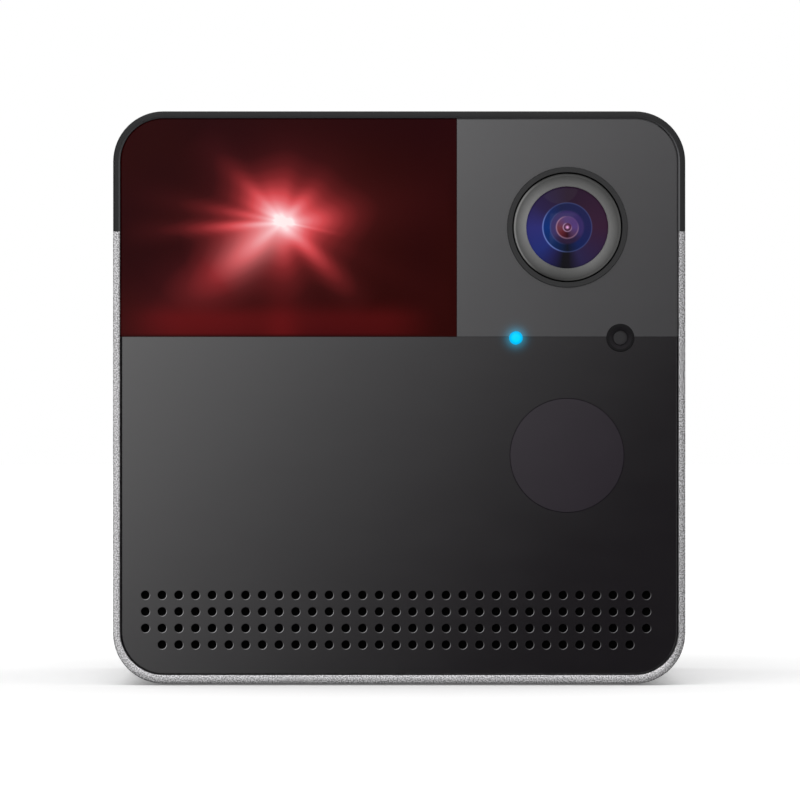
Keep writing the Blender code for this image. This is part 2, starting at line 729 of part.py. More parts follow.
def circle_points(radius, steps, start=0.0, sweep=2 * math.pi):
    """Return points along an arc about the origin, without the last one."""
    return [(radius * math.cos(start + sweep * i / steps), radius * math.sin(start + sweep * i / steps))
            for i in range(steps)]


def involute(radius, base):
    """Return the involute angle of a flank at a radius."""
    pressure = math.acos(min(1.0, base / radius))
    return math.tan(pressure) - pressure


def tooth_points(teeth, number):
    """Return the outline of one gear tooth, which points along its angle."""
    pressure = math.radians(20)
    addendum_share = 0.85
    dedendum_share = 1.15
    backlash_share = 0.16
    flank_points = 3
    pitch = teeth * GEAR_MODULE / 2
    base = pitch * math.cos(pressure)
    tip = pitch + addendum_share * GEAR_MODULE
    root = pitch - dedendum_share * GEAR_MODULE
    half = math.pi / (2 * teeth) - backlash_share * GEAR_MODULE / (2 * pitch)
    low = max(root, base)
    radii = [low + (tip - low) * i / (flank_points - 1) for i in range(flank_points)]
    side = [(radius, half + involute(pitch, base) - involute(radius, base)) for radius in radii]
    if root < base:
        side.insert(0, (root, side[0][1]))
    mid = number * 2 * math.pi / teeth
    polar = [(radius, mid - angle) for radius, angle in side]
    polar += [(radius, mid + angle) for radius, angle in reversed(side)]
    return [(radius * math.cos(angle), radius * math.sin(angle)) for radius, angle in polar]


def gear_sector(each_side, disc_radius, facing):
    """Return the outline of a plate with gear teeth on the side that faces the pinion."""
    points = []
    for number in range(-each_side, each_side + 1):
        points += tooth_points(GEAR_TEETH, number)
    end = math.atan2(points[-1][1], points[-1][0])
    steps = ROUND_STEPS
    rest = circle_points(disc_radius, steps, end, 2 * (math.pi - end))
    rest.append((disc_radius * math.cos(end), -disc_radius * math.sin(end)))
    return turn_points(points + rest, facing)


def pinion_loops(facing):
    """Return the outline and the bore of a pinion with a gap on the side that faces the gear."""
    points = []
    for number in range(PINION_TEETH):
        points += tooth_points(PINION_TEETH, number)
    bore = circle_points(PINION_BORE, TINY_STEPS)
    return [turn_points(points, facing + math.pi / PINION_TEETH), bore]


def corner_places(inset):
    """Return the four corner places on the front, a given inset from the outer faces."""
    low = BODY_BOTTOM + inset
    high = BODY_TOP - inset
    side = HALF_WIDTH - inset
    return [(-side, low), (side, low), (-side, high), (side, high)]


def body_block(name, front, rear, finish=None):
    """Make a solid with the outer shape of the body."""
    spans = ((-HALF_WIDTH, HALF_WIDTH), (front, rear), (BODY_BOTTOM, BODY_TOP))
    return block(name, spans, finish, BODY_CORNER, "Y")


def bore_block(name, front, rear, inset=0.0, finish=None):
    """Make a solid with the inner shape of the sleeve, drawn in all round by an inset."""
    spans = ((-INNER_HALF + inset, INNER_HALF - inset), (front, rear),
             (INNER_BOTTOM + inset, INNER_TOP - inset))
    return block(name, spans, finish, INNER_CORNER - inset, "Y")


def make_sleeve():
    """Aluminium sleeve with corner ribs, a visor notch and the holes of the floor."""
    sleeve = body_block("housing_shell", FRONT_Y, SLEEVE_REAR, "bead_blasted_aluminium")
    bore = bore_block("sleeve_bore", FRONT_Y - OVERRUN, SLEEVE_REAR + OVERRUN)
    ribs = bmesh.new()
    places = corner_places(RIB_INSET)
    centre_z = MID_Z
    for x, z in places:
        front = RIB_FRONT if z < centre_z else RIB_REAR - TOP_RIB_LENGTH
        angle = math.atan2(z - centre_z, x)
        reach = BODY_CORNER * 2
        shift = Matrix.Translation((x, (front + RIB_REAR) / 2, z - centre_z))
        spin = Matrix.Rotation(-angle, 4, "Y")
        outward = Matrix.Translation(((reach - RIB_WIDTH) / 2, 0, 0))
        made = bmesh.ops.create_cube(ribs, size=1)["verts"]
        bmesh.ops.scale(ribs, vec=(reach, RIB_REAR - front, RIB_WIDTH), verts=made)
        bmesh.ops.transform(ribs, matrix=shift @ spin @ outward, verts=made)
    mesh = bpy.data.meshes.new("sleeve_ribs")
    ribs.to_mesh(mesh)
    ribs.free()
    rib_shape = add_object("sleeve_ribs", mesh, (0, 0, centre_z), None)
    cut(bore, rib_shape)
    drill = rods("rib_drill", [rod_along_y(x, z, RIB_HOLE, FRAME_REAR, LIP_FRONT)
                               for x, z in places], "Y", steps=TINY_STEPS)
    notch = block("visor_notch", ((-HALF_WIDTH - OVERRUN, HALF_WIDTH + OVERRUN),
                                  (FRONT_Y - OVERRUN, FRAME_REAR + SEAM),
                                  (VISOR_BOTTOM - SEAM, BODY_TOP + OVERRUN)))
    foot_recess = block("foot_recess", ((-FOOT_WIDTH / 2 - SEAT, FOOT_WIDTH / 2 + SEAT),
                                        (-FOOT_DEPTH / 2 - SEAT, FOOT_DEPTH / 2 + SEAT),
                                        (BODY_BOTTOM - OVERRUN, FOOT_THICK + SEAT)),
                        None, FOOT_CORNER + SEAT, "Z")
    thread_hole = rods("thread_hole", [rod_along_z(0, 0, INSERT_RADIUS + SEAT, BODY_BOTTOM - OVERRUN,
                                                   INNER_BOTTOM + OVERRUN)], "Z",
                       steps=ROUND_STEPS)
    cut(sleeve, bore, drill, notch, foot_recess, thread_hole)


def make_visor():
    """Black band across the top and down both sides of the rim."""
    visor = body_block("top_visor", FRONT_Y, FRAME_REAR, "smoked_gloss")
    bore = bore_block("visor_bore", FRONT_Y - OVERRUN, FRAME_REAR + OVERRUN)
    below = block("visor_lower", ((-HALF_WIDTH - OVERRUN, HALF_WIDTH + OVERRUN),
                                  (FRONT_Y - OVERRUN, FRAME_REAR + OVERRUN),
                                  (BODY_BOTTOM - OVERRUN, VISOR_BOTTOM)))
    cut(visor, bore, below)


def sound_hole_places():
    """Return the places of the sound holes, row by row."""
    places = []
    for row in range(HOLE_ROWS):
        columns = HOLE_COLUMNS - (LAST_ROW_FEWER if row == HOLE_ROWS - 1 else 0)
        for column in range(columns):
            x = HOLE_FIELD_X + (column - (columns - 1) / 2) * HOLE_PITCH
            places.append((x, HOLE_TOP_Z - row * HOLE_ROW_PITCH))
    return places


def make_panes():
    """The three glossy panes of the front and the round infrared window."""
    depth = (PANE_FRONT, PANE_BACK)
    block("laser_window", ((-PANE_HALF, WINDOW_RIGHT_X - SEAM / 2), depth,
                           (SEAM_Z + SEAM / 2, PANE_TOP)),
          "red_gloss", PANE_CORNER, "Y", ((-1, 1),))
    camera = block("camera_panel", ((WINDOW_RIGHT_X + SEAM / 2, PANE_HALF), depth,
                                    (SEAM_Z + SEAM / 2, PANE_TOP)),
                   "smoked_gloss", PANE_CORNER, "Y", ((1, 1),))
    lower = block("speaker_panel", ((-PANE_HALF, PANE_HALF), depth,
                                    (PANE_BOTTOM, SEAM_Z - SEAM / 2)),
                  "smoked_gloss", PANE_CORNER, "Y", ((-1, -1), (1, -1)))
    ends = (PANE_FRONT - OVERRUN, PANE_BACK + OVERRUN)
    small = rods("light_holes", [rod_along_y(PIPE_X, PIPE_Z, PIPE_RADIUS + SEAM, *ends),
                                 rod_along_y(HOOD_X, HOOD_Z, HOOD_RADIUS + SEAM, *ends)], "Y",
                 steps=SMALL_STEPS)
    lens = rods("lens_hole", [rod_along_y(LENS_X, LENS_Z, TRIM_OUTER + SEAM, *ends)], "Y",
                steps=ROUND_STEPS)
    lamp = rods("lamp_hole", [rod_along_y(IR_X, IR_Z, IR_WINDOW_RADIUS + SEAM, *ends)], "Y",
                steps=ROUND_STEPS)
    sound = rods("sound_holes", [rod_along_y(x, z, HOLE_RADIUS, *ends)
                                 for x, z in sound_hole_places()], "Y", steps=8)
    cut(camera, lens, small)
    cut(lower, sound, lamp, small)
    rods("ir_window", [rod_along_y(IR_X, IR_Z, IR_WINDOW_RADIUS, *depth)], "Y", "smoked_gloss",
         ROUND_STEPS)


def make_front_frame():
    """Moulded carrier behind the panes, with its bosses, openings and sound slots."""
    frame = bore_block("front_frame", FRAME_FRONT, FRAME_REAR, PANE_GAP, "black_moulding")
    pocket = bore_block("frame_pocket", FRAME_BACK, FRAME_REAR + OVERRUN, PANE_GAP + FRAME_SKIRT)
    root = FRAME_BACK - FRAME_PLATE / 2
    screw_places = corner_places(RIB_INSET)[:2]
    camera_places = camera_screw_places()
    posts = post_places()
    rear = FRAME_REAR - SEAT
    bosses = rods("frame_bosses", [rod_along_y(x, z, CORNER_BOSS, root, rear)
                                   for x, z in screw_places]
                  + [rod_along_y(x, z, CAMERA_BOSS, root, CAMERA_BOSS_REAR)
                     for x, z in camera_places]
                  + [rod_along_y(x, z, POST_RADIUS, root, SENSOR_BOARD_FRONT - SEAT)
                     for x, z in posts], "Y")
    pins = rods("frame_pins", [rod_along_y(x, z, POST_PIN, root, SENSOR_BOARD_BACK + POST_PIN_STAND)
                               for x, z in posts], "Y", steps=TINY_STEPS)
    through = (FRAME_FRONT - OVERRUN, FRAME_BACK + OVERRUN)
    left = -PANE_HALF + LASER_OPENING_MARGIN
    right = WINDOW_RIGHT_X - LASER_OPENING_MARGIN
    low = SEAM_Z + LASER_OPENING_MARGIN
    high = PANE_TOP - LASER_OPENING_MARGIN
    windows = [((left, right), through, (low, high))]
    field = 2 * SLOT_FIELD_HALF / SLOT_COUNT
    for slot in range(SLOT_COUNT):
        start = HOLE_FIELD_X - SLOT_FIELD_HALF + slot * field
        windows.append(((start + SLOT_BRIDGE / 2, start + field - SLOT_BRIDGE / 2), through,
                        (HOLE_BOTTOM_Z - HOLE_RADIUS - SLOT_MARGIN,
                         HOLE_TOP_Z + HOLE_RADIUS + SLOT_MARGIN)))
    openings = blocks("frame_windows", windows)
    recess = block("mesh_recess", ((HOLE_FIELD_X - SLOT_FIELD_HALF - MESH_MARGIN - SEAM,
                                    HOLE_FIELD_X + SLOT_FIELD_HALF + MESH_MARGIN + SEAM),
                                   (FRAME_FRONT - OVERRUN, MESH_BACK + MESH_CLEAR),
                                   (HOLE_BOTTOM_Z - HOLE_RADIUS - MESH_MARGIN - SEAM,
                                    HOLE_TOP_Z + HOLE_RADIUS + MESH_MARGIN + SEAM)))
    wide = rods("frame_wide_holes", [rod_along_y(LENS_X, LENS_Z, LENS_HEAD + SEAT, *through),
                                     rod_along_y(IR_X, IR_Z, IR_OPENING, *through)], "Y",
                steps=ROUND_STEPS)
    narrow = [rod_along_y(PIPE_X, PIPE_Z, PIPE_RADIUS + PANE_GAP, *through),
              rod_along_y(HOOD_X, HOOD_Z, HOOD_RADIUS + PANE_GAP, *through)]
    narrow += [rod_along_y(x, z, BRACKET_SCREW_RADIUS + SCREW_CLEAR, *through)
               for x, z in bracket_screw_places()]
    narrow += [rod_along_y(x, z, CAMERA_SCREW_HOLE, FRAME_BACK, CAMERA_BOSS_REAR + OVERRUN)
               for x, z in camera_places]
    narrow += [rod_along_y(x, z, CORNER_SCREW_HOLE, FRAME_FRONT - OVERRUN, FRAME_REAR + OVERRUN)
               for x, z in screw_places]
    small = rods("frame_small_holes", narrow, "Y", steps=TINY_STEPS)
    heads = rods("frame_head_recesses", [rod_along_y(x, z, COUNTERBORE, FRAME_FRONT - OVERRUN,
                                                     FRAME_FRONT + HEAD_RECESS_DEPTH)
                                         for x, z in screw_places], "Y")
    cut(frame, pocket)
    join(frame, bosses, pins)
    cut(frame, openings, recess, wide, small, heads)
    names = ("left", "right")
    for side, (x, z) in zip(names, screw_places):
        head = FRAME_FRONT + HEAD_RECESS_DEPTH - SEAT
        tip = head + CORNER_SCREW_LENGTH
        turned("frame_screw_" + side, [(0, head - CORNER_SCREW_HEAD_THICK),
                                       (CORNER_SCREW_HEAD, head - CORNER_SCREW_HEAD_THICK),
                                       (CORNER_SCREW_HEAD, head),
                                       (CORNER_SCREW_RADIUS, head),
                                       (CORNER_SCREW_RADIUS, tip),
                                       (0, tip)], x, z, "Y", "steel", TINY_STEPS)
    block("acoustic_mesh", ((HOLE_FIELD_X - SLOT_FIELD_HALF - MESH_MARGIN,
                             HOLE_FIELD_X + SLOT_FIELD_HALF + MESH_MARGIN),
                            (MESH_FRONT, MESH_BACK),
                            (HOLE_BOTTOM_Z - HOLE_RADIUS - MESH_MARGIN,
                             HOLE_TOP_Z + HOLE_RADIUS + MESH_MARGIN)), "rubber")


def camera_screw_places():
    """Return the two places of the camera screws, on a diagonal of the holder."""
    return [(LENS_X - CAMERA_SCREW_X, LENS_Z + CAMERA_SCREW_UP),
            (LENS_X + CAMERA_SCREW_X, LENS_Z - CAMERA_SCREW_UP)]


def post_places():
    """Return the two places of the posts that carry the sensor board."""
    return [(SENSOR_BOARD_LEFT + POST_SIDE_INSET, SENSOR_BOARD_TOP - UPPER_POST_DROP),
            (SENSOR_BOARD_RIGHT - POST_SIDE_INSET, SENSOR_BOARD_BOTTOM + LOWER_POST_RISE)]


def bracket_screw_places():
    """Return the two places of the screws that hold the laser bracket."""
    height = BRACKET_TOP - BRACKET_FLANGE_DROP / 2
    return [(LASER_X - BRACKET_SCREW_OFFSET, height), (LASER_X + BRACKET_SCREW_OFFSET, height)]


def make_lens():
    """Threaded lens with its trim ring and glass."""
    turned("lens_trim_ring", [(TRIM_OUTER, FRONT_Y), (TRIM_OUTER, PANE_BACK),
                              (TRIM_INNER, PANE_BACK), (TRIM_INNER, FRONT_Y)],
           LENS_X, LENS_Z, "Y", "black_moulding", ring=True)
    turned("lens_barrel", [(LENS_HEAD, LENS_FRONT), (LENS_HEAD, LENS_HEAD_REAR),
                           (LENS_BODY, LENS_HEAD_REAR), (LENS_BODY, LENS_REAR),
                           (LENS_REAR_BORE, LENS_REAR),
                           (LENS_REAR_BORE, LENS_REAR - LENS_REAR_SHELF),
                           (LENS_BORE, LENS_REAR - LENS_REAR_SHELF), (LENS_BORE, LENS_SHELF),
                           (LENS_GLASS, LENS_SHELF), (LENS_GLASS, LENS_FRONT + LENS_BEVEL_DEPTH)],
           LENS_X, LENS_Z, "Y", "dark_metal", ring=True)
    edge = LENS_GLASS - LENS_FIT
    back = LENS_SHELF - SEAT
    rim = back - LENS_GLASS_EDGE
    sphere = (edge ** 2 + LENS_GLASS_DOME ** 2) / (2 * LENS_GLASS_DOME)
    steps = 4
    reach = math.asin(edge / sphere)
    dome = [(sphere * math.sin(reach * i / steps),
             rim + sphere * (math.cos(reach) - math.cos(reach * i / steps))) for i in range(steps + 1)]
    turned("lens_front_element", dome + [(edge, back), (0, back)], LENS_X, LENS_Z, "Y",
           "lens_glass", 24)
    front = LENS_SHELF + SEAT
    stop = front + APERTURE_THICK
    turned("lens_aperture", [(LENS_BORE - LENS_FIT, front), (LENS_BORE - LENS_FIT, stop),
                             (APERTURE_STOP, stop), (APERTURE_STOP, stop - APERTURE_STOP / 2),
                             (APERTURE_FRONT, front)],
           LENS_X, LENS_Z, "Y", "black_moulding", 20, True)
    shelf = LENS_REAR - LENS_REAR_SHELF - SEAT
    turned("lens_rear_element", [(0, shelf - REAR_ELEMENT_THICK),
                                 (LENS_BORE - LENS_FIT, shelf - REAR_ELEMENT_THICK),
                                 (LENS_BORE - LENS_FIT, shelf), (0, shelf)],
           LENS_X, LENS_Z, "Y", "lens_glass", 20)


def make_camera():
    """Lens holder, night filter, image sensor, board and screws."""
    holder = rods("lens_holder", [rod_along_y(LENS_X, LENS_Z, HOLDER_TUBE, HOLDER_FRONT,
                                              (BLOCK_FRONT + CAVITY_FRONT) / 2)], "Y",
                  "black_moulding", ROUND_STEPS)
    body = block("holder_block", ((LENS_X - BLOCK_HALF, LENS_X + BLOCK_HALF),
                                  (BLOCK_FRONT, BLOCK_REAR),
                                  (LENS_Z - BLOCK_HALF_HEIGHT, LENS_Z + BLOCK_HALF_HEIGHT)))
    bore = rods("holder_bore", [rod_along_y(LENS_X, LENS_Z, HOLDER_BORE, HOLDER_FRONT - OVERRUN,
                                            HOLDER_STOP)], "Y", steps=ROUND_STEPS)
    aperture = rods("holder_aperture", [rod_along_y(LENS_X, LENS_Z, HOLDER_APERTURE,
                                                    HOLDER_STOP - OVERRUN,
                                                    CAVITY_FRONT + OVERRUN)], "Y")
    cavity = block("filter_cavity", ((LENS_X - CAVITY_HALF, LENS_X + CAVITY_HALF),
                                     (CAVITY_FRONT, BLOCK_REAR + OVERRUN),
                                     (LENS_Z - CAVITY_HALF_HEIGHT, LENS_Z + CAVITY_HALF_HEIGHT)))
    drill = rods("camera_drill", [rod_along_y(x, z, CAMERA_SCREW_HOLE, BLOCK_FRONT - OVERRUN,
                                              CAMERA_BOARD_BACK + OVERRUN)
                                  for x, z in camera_screw_places()], "Y", steps=TINY_STEPS)
    join(holder, body)
    cut(holder, bore, aperture, cavity, drill)

    depth = (FILTER_FRONT, FILTER_BACK)
    half = FILTER_WINDOW / 2
    slider = block("filter_slider", ((FILTER_REST_X - FILTER_FRAME_LENGTH / 2,
                                      FILTER_REST_X + FILTER_FRAME_LENGTH / 2), depth,
                                     (LENS_Z - FILTER_FRAME_HEIGHT / 2,
                                      LENS_Z + FILTER_FRAME_HEIGHT / 2)), "grey_moulding")
    centres = (FILTER_REST_X - FILTER_TRAVEL / 2, FILTER_REST_X + FILTER_TRAVEL / 2)
    windows = blocks("filter_windows", [((x - half, x + half),
                                         (FILTER_FRONT - OVERRUN, FILTER_BACK + OVERRUN),
                                         (LENS_Z - half, LENS_Z + half)) for x in centres])
    cut(slider, windows)
    pane = half - LENS_FIT
    middle_y = middle(depth)
    glass = block("ir_cut_filter", ((centres[1] - pane, centres[1] + pane),
                                    (middle_y - FILTER_GLASS_THICK / 2,
                                     middle_y + FILTER_GLASS_THICK / 2),
                                    (LENS_Z - pane, LENS_Z + pane)), "lens_glass")
    travel = joint_empty("filter_travel", (FILTER_REST_X, middle_y, LENS_Z))
    hang(slider, travel)
    hang(glass, travel)

    coil_z = LENS_Z - BLOCK_HALF_HEIGHT - SEAT - COIL_RADIUS
    rods("filter_coil", [((LENS_X, middle((BLOCK_FRONT, BLOCK_REAR)), coil_z), COIL_RADIUS,
                          COIL_LENGTH)], "X", "copper")
    chip_back = CAMERA_BOARD_FRONT - SEAT
    block("image_sensor", ((LENS_X - SENSOR_CHIP_WIDTH / 2, LENS_X + SENSOR_CHIP_WIDTH / 2),
                           (chip_back - SENSOR_CHIP_THICK, chip_back),
                           (LENS_Z - SENSOR_CHIP_HEIGHT / 2, LENS_Z + SENSOR_CHIP_HEIGHT / 2)),
          "dark_metal")
    board = block("camera_board", ((LENS_X - BLOCK_HALF, LENS_X + BLOCK_HALF),
                                   (CAMERA_BOARD_FRONT, CAMERA_BOARD_BACK),
                                   (LENS_Z - CAMERA_BOARD_HALF_HEIGHT,
                                    LENS_Z + CAMERA_BOARD_HALF_HEIGHT)), "green_board")
    cut(board, drill)
    for side, (x, z) in zip(("left", "right"), camera_screw_places()):
        head = CAMERA_BOARD_BACK + SEAT
        tip = CAMERA_BOSS_REAR - CAMERA_SCREW_BITE
        turned("camera_screw_" + side, [(0, tip), (CAMERA_SCREW_RADIUS, tip),
                                        (CAMERA_SCREW_RADIUS, head), (CAMERA_SCREW_HEAD, head),
                                        (CAMERA_SCREW_HEAD, head + CAMERA_SCREW_HEAD_THICK),
                                        (0, head + CAMERA_SCREW_HEAD_THICK)],
               x, z, "Y", "steel", TINY_STEPS)


def make_lights():
    """Status light, light sensor, infrared lamps, microphone and their board."""
    rods("light_pipe", [rod_along_y(PIPE_X, PIPE_Z, PIPE_RADIUS, PANE_FRONT, CHIP_FRONT - SEAT)],
         "Y", "cyan_light")
    half = CHIP_SIDE / 2
    block("status_led", ((PIPE_X - half, PIPE_X + half), (CHIP_FRONT, CHIP_BACK),
                         (PIPE_Z - half, PIPE_Z + half)), "white_moulding")
    base_front = CHIP_FRONT
    turned("sensor_hood", [(HOOD_MOUTH, PANE_FRONT), (HOOD_RADIUS, PANE_FRONT),
                           (HOOD_RADIUS, base_front - SEAT), (HOOD_BORE, base_front - SEAT),
                           (HOOD_BORE, PANE_FRONT + HOOD_FUNNEL_DEPTH)],
           HOOD_X, HOOD_Z, "Y", "black_moulding", SMALL_STEPS, True)
    rod_front = PANE_FRONT + HOOD_FUNNEL_DEPTH
    turned("light_sensor", [(0, rod_front), (LIGHT_SENSOR_ROD, rod_front),
                            (LIGHT_SENSOR_ROD, base_front), (LIGHT_SENSOR_BASE, base_front),
                            (LIGHT_SENSOR_BASE, CHIP_BACK), (0, CHIP_BACK)],
           HOOD_X, HOOD_Z, "Y", "lamp_glass", SMALL_STEPS)
    tip = PANE_BACK + SEAT
    steps = 4
    dome = [(IR_LAMP_RADIUS * math.sin(math.pi / 2 * i / steps),
             tip + IR_LAMP_RADIUS * (1 - math.cos(math.pi / 2 * i / steps)))
            for i in range(steps + 1)]
    rim = CHIP_BACK - IR_LAMP_RIM_THICK
    for side, sign in (("left", -1), ("right", 1)):
        turned("ir_lamp_" + side, dome + [(IR_LAMP_RADIUS, rim), (IR_LAMP_RIM, rim),
                                          (IR_LAMP_RIM, CHIP_BACK), (0, CHIP_BACK)],
               IR_X + sign * IR_LAMP_OFFSET, IR_Z, "Y", "lamp_glass", TINY_STEPS)
    half = MICROPHONE_SIDE / 2
    block("microphone", ((MICROPHONE_X - half, MICROPHONE_X + half), (BEHIND_FRAME, CHIP_BACK),
                         (MICROPHONE_Z - half, MICROPHONE_Z + half)), "rubber")
    board = block("sensor_board", ((SENSOR_BOARD_LEFT, SENSOR_BOARD_RIGHT),
                                   (SENSOR_BOARD_FRONT, SENSOR_BOARD_BACK),
                                   (SENSOR_BOARD_BOTTOM, SENSOR_BOARD_TOP)),
                  "green_board")
    holes = rods("sensor_board_holes", [rod_along_y(x, z, POST_PIN + PANE_GAP,
                                                    SENSOR_BOARD_FRONT - OVERRUN,
                                                    SENSOR_BOARD_BACK + OVERRUN)
                                        for x, z in post_places()], "Y", steps=TINY_STEPS)
    cut(board, holes)


def make_speaker():
    """Loudspeaker basket, magnet and moving cone."""
    inner = SPEAKER_RADIUS - SPEAKER_RIM
    turned("speaker_frame", [(SPEAKER_RADIUS, SPEAKER_FRONT),
                             (SPEAKER_RADIUS, SPEAKER_FRONT + SPEAKER_RIM_DEPTH),
                             (SPEAKER_WAIST, SPEAKER_BACK - SPEAKER_WALL),
                             (SPEAKER_WAIST, SPEAKER_BACK),
                             (SPEAKER_WAIST - SPEAKER_RIM - SPEAKER_WALL, SPEAKER_BACK),
                             (SPEAKER_WAIST - SPEAKER_RIM - SPEAKER_WALL,
                              SPEAKER_BACK - SPEAKER_WALL),
                             (SPEAKER_WAIST - SPEAKER_RIM, SPEAKER_BACK - SPEAKER_WALL),
                             (inner, SPEAKER_FRONT + SPEAKER_RIM_DEPTH),
                             (inner, SPEAKER_FRONT)],
           SPEAKER_X, SPEAKER_Z, "Y", "grey_moulding", 24, True)
    pole_front = MAGNET_FRONT - MAGNET_GAP_DEPTH / 2
    gap_floor = MAGNET_FRONT + MAGNET_GAP_DEPTH / 2
    turned("speaker_magnet", [(0, pole_front), (MAGNET_POLE, pole_front),
                              (MAGNET_POLE, gap_floor), (MAGNET_POLE + MAGNET_GAP, gap_floor),
                              (MAGNET_POLE + MAGNET_GAP, MAGNET_FRONT),
                              (MAGNET_RADIUS, MAGNET_FRONT), (MAGNET_RADIUS, MAGNET_BACK),
                              (0, MAGNET_BACK)],
           SPEAKER_X, SPEAKER_Z, "Y", "steel", 24)
    former_out = MAGNET_POLE + (MAGNET_GAP + COIL_FORMER_THICK) / 2
    former_in = former_out - COIL_FORMER_THICK
    edge = inner - SEAT
    front = SPEAKER_FRONT + CONE_FRONT_ROOM
    valley = front + CONE_DEPTH
    former_end = gap_floor - CONE_TRAVEL - SEAT
    cone = turned("speaker_cone", [(0, valley - CONE_DOME - CONE_THICK), (former_in, valley - CONE_THICK),
                                   (edge, front - CONE_THICK), (edge, front),
                                   (former_out, valley), (former_out, former_end),
                                   (former_in, former_end), (former_in, valley),
                                   (0, valley - CONE_DOME)],
                  SPEAKER_X, SPEAKER_Z, "Y", "paper_cone", 24)
    hang(cone, joint_empty("cone_travel", (SPEAKER_X, front, SPEAKER_Z)))


def make_laser():
    """Pan and tilt drive with the laser barrel."""
    centre = (LASER_X, LASER_Y, LASER_Z)
    pan_axis = joint_empty("pan_axis", centre)
    tilt_axis = joint_empty("tilt_axis", centre, pan_axis)

    front = FRAME_BACK + SEAT
    rear = PAN_SHAFT_Y + BRACKET_MARGIN
    width = (LASER_X - BRACKET_HALF_WIDTH, LASER_X + BRACKET_HALF_WIDTH)
    bracket = block("laser_bracket", (width, (front, rear), (BRACKET_BOTTOM, BRACKET_TOP)),
                    "steel")
    flange = block("bracket_flange", (width, (front, front + BRACKET_FLANGE),
                                      (BRACKET_TOP - BRACKET_FLANGE_DROP,
                                       (BRACKET_TOP + BRACKET_BOTTOM) / 2)))
    join(bracket, flange)
    root_y = front + BRACKET_FLANGE / 2
    root_z = (BRACKET_TOP + BRACKET_BOTTOM) / 2
    reach = BRACKET_FLANGE / 2 + GUSSET_REACH
    drop = BRACKET_FLANGE_DROP - BRACKET_PLATE
    triangle = [(0, 0), (0, -drop), (reach, 0)]
    for name, side in (("left", -1), ("right", 1)):
        x = LASER_X + side * (BRACKET_HALF_WIDTH - GUSSET_THICK)
        gusset = flat_outline("gusset_" + name, [triangle], GUSSET_THICK, "X",
                              (x, root_y, root_z), None)
        join(bracket, gusset)
    bearing = rods("hub_bearing", [rod_along_z(LASER_X, LASER_Y, HUB_PIN + SHAFT_CLEAR,
                                               BRACKET_BOTTOM - OVERRUN, BRACKET_TOP + OVERRUN)],
                   "Z")
    shaft_hole = rods("pan_shaft_hole", [rod_along_z(LASER_X, PAN_SHAFT_Y, SHAFT_HOLE,
                                                     BRACKET_BOTTOM - OVERRUN,
                                                     BRACKET_TOP + OVERRUN)], "Z",
                      steps=TINY_STEPS)
    screw_holes = rods("bracket_drill", [rod_along_y(x, z, BRACKET_SCREW_RADIUS + SCREW_CLEAR,
                                                     front - OVERRUN,
                                                     front + BRACKET_FLANGE + OVERRUN)
                                         for x, z in bracket_screw_places()], "Y",
                       steps=TINY_STEPS)
    cut(bracket, bearing, shaft_hole, screw_holes)
    head = front + BRACKET_FLANGE + SEAT
    for side, (x, z) in zip(("left", "right"), bracket_screw_places()):
        turned("bracket_screw_" + side, [(0, FRAME_FRONT + SEAT),
                                         (BRACKET_SCREW_RADIUS, FRAME_FRONT + SEAT),
                                         (BRACKET_SCREW_RADIUS, head), (BRACKET_SCREW_HEAD, head),
                                         (BRACKET_SCREW_HEAD, head + BRACKET_SCREW_HEAD_THICK),
                                         (0, head + BRACKET_SCREW_HEAD_THICK)],
               x, z, "Y", "steel", TINY_STEPS)

    can_top = BRACKET_BOTTOM - SEAT
    turned("pan_motor", [(0, YOKE_TOP), (SHAFT_RADIUS, YOKE_TOP), (SHAFT_RADIUS, can_top),
                         (PAN_MOTOR_RADIUS, can_top),
                         (PAN_MOTOR_RADIUS, can_top - PAN_MOTOR_LENGTH),
                         (0, can_top - PAN_MOTOR_LENGTH)],
           LASER_X, PAN_SHAFT_Y, "Z", "steel", 20)
    to_back = math.pi / 2
    flat_outline("pan_pinion", pinion_loops(to_back + math.pi), YOKE_PLATE, "Z",
                 (LASER_X, PAN_SHAFT_Y, (YOKE_TOP + YOKE_BOTTOM) / 2), "brass")

    yoke = flat_outline("pan_yoke", [gear_sector(PAN_TEETH_EACH_SIDE, YOKE_DISC, to_back)],
                        YOKE_PLATE, "Z", (LASER_X, LASER_Y, (YOKE_TOP + YOKE_BOTTOM) / 2),
                        "white_moulding")
    foot = (YOKE_TOP + YOKE_BOTTOM) / 2
    half = ARM_WIDTH / 2
    arm_z = (foot, LASER_Z + ARM_HEAD)
    arm_y = (LASER_Y - half, LASER_Y + half)
    arms = blocks("yoke_arms", [((LASER_X - ARM_OUTER, LASER_X - ARM_INNER), arm_y, arm_z),
                                ((LASER_X + ARM_INNER, LASER_X + ARM_OUTER), arm_y, arm_z)])
    pin = rods("yoke_pin", [rod_along_z(LASER_X, LASER_Y, HUB_PIN, BRACKET_BOTTOM - SEAT, foot)],
               "Z")
    pivots = rods("yoke_pivots", [(centre, TRUNNION + TRUNNION_CLEAR, 2 * (ARM_OUTER + OVERRUN))],
                  "X", steps=TINY_STEPS)
    shaft_z = LASER_Z - GEAR_DISTANCE
    shaft_pass = rods("tilt_shaft_hole", [((LASER_X + middle((ARM_INNER, ARM_OUTER)), LASER_Y,
                                            shaft_z), SHAFT_HOLE, ARM_THICK + OVERRUN)], "X",
                      steps=TINY_STEPS)
    join(yoke, arms, pin)
    cut(yoke, pivots, shaft_pass)
    hang(yoke, pan_axis)

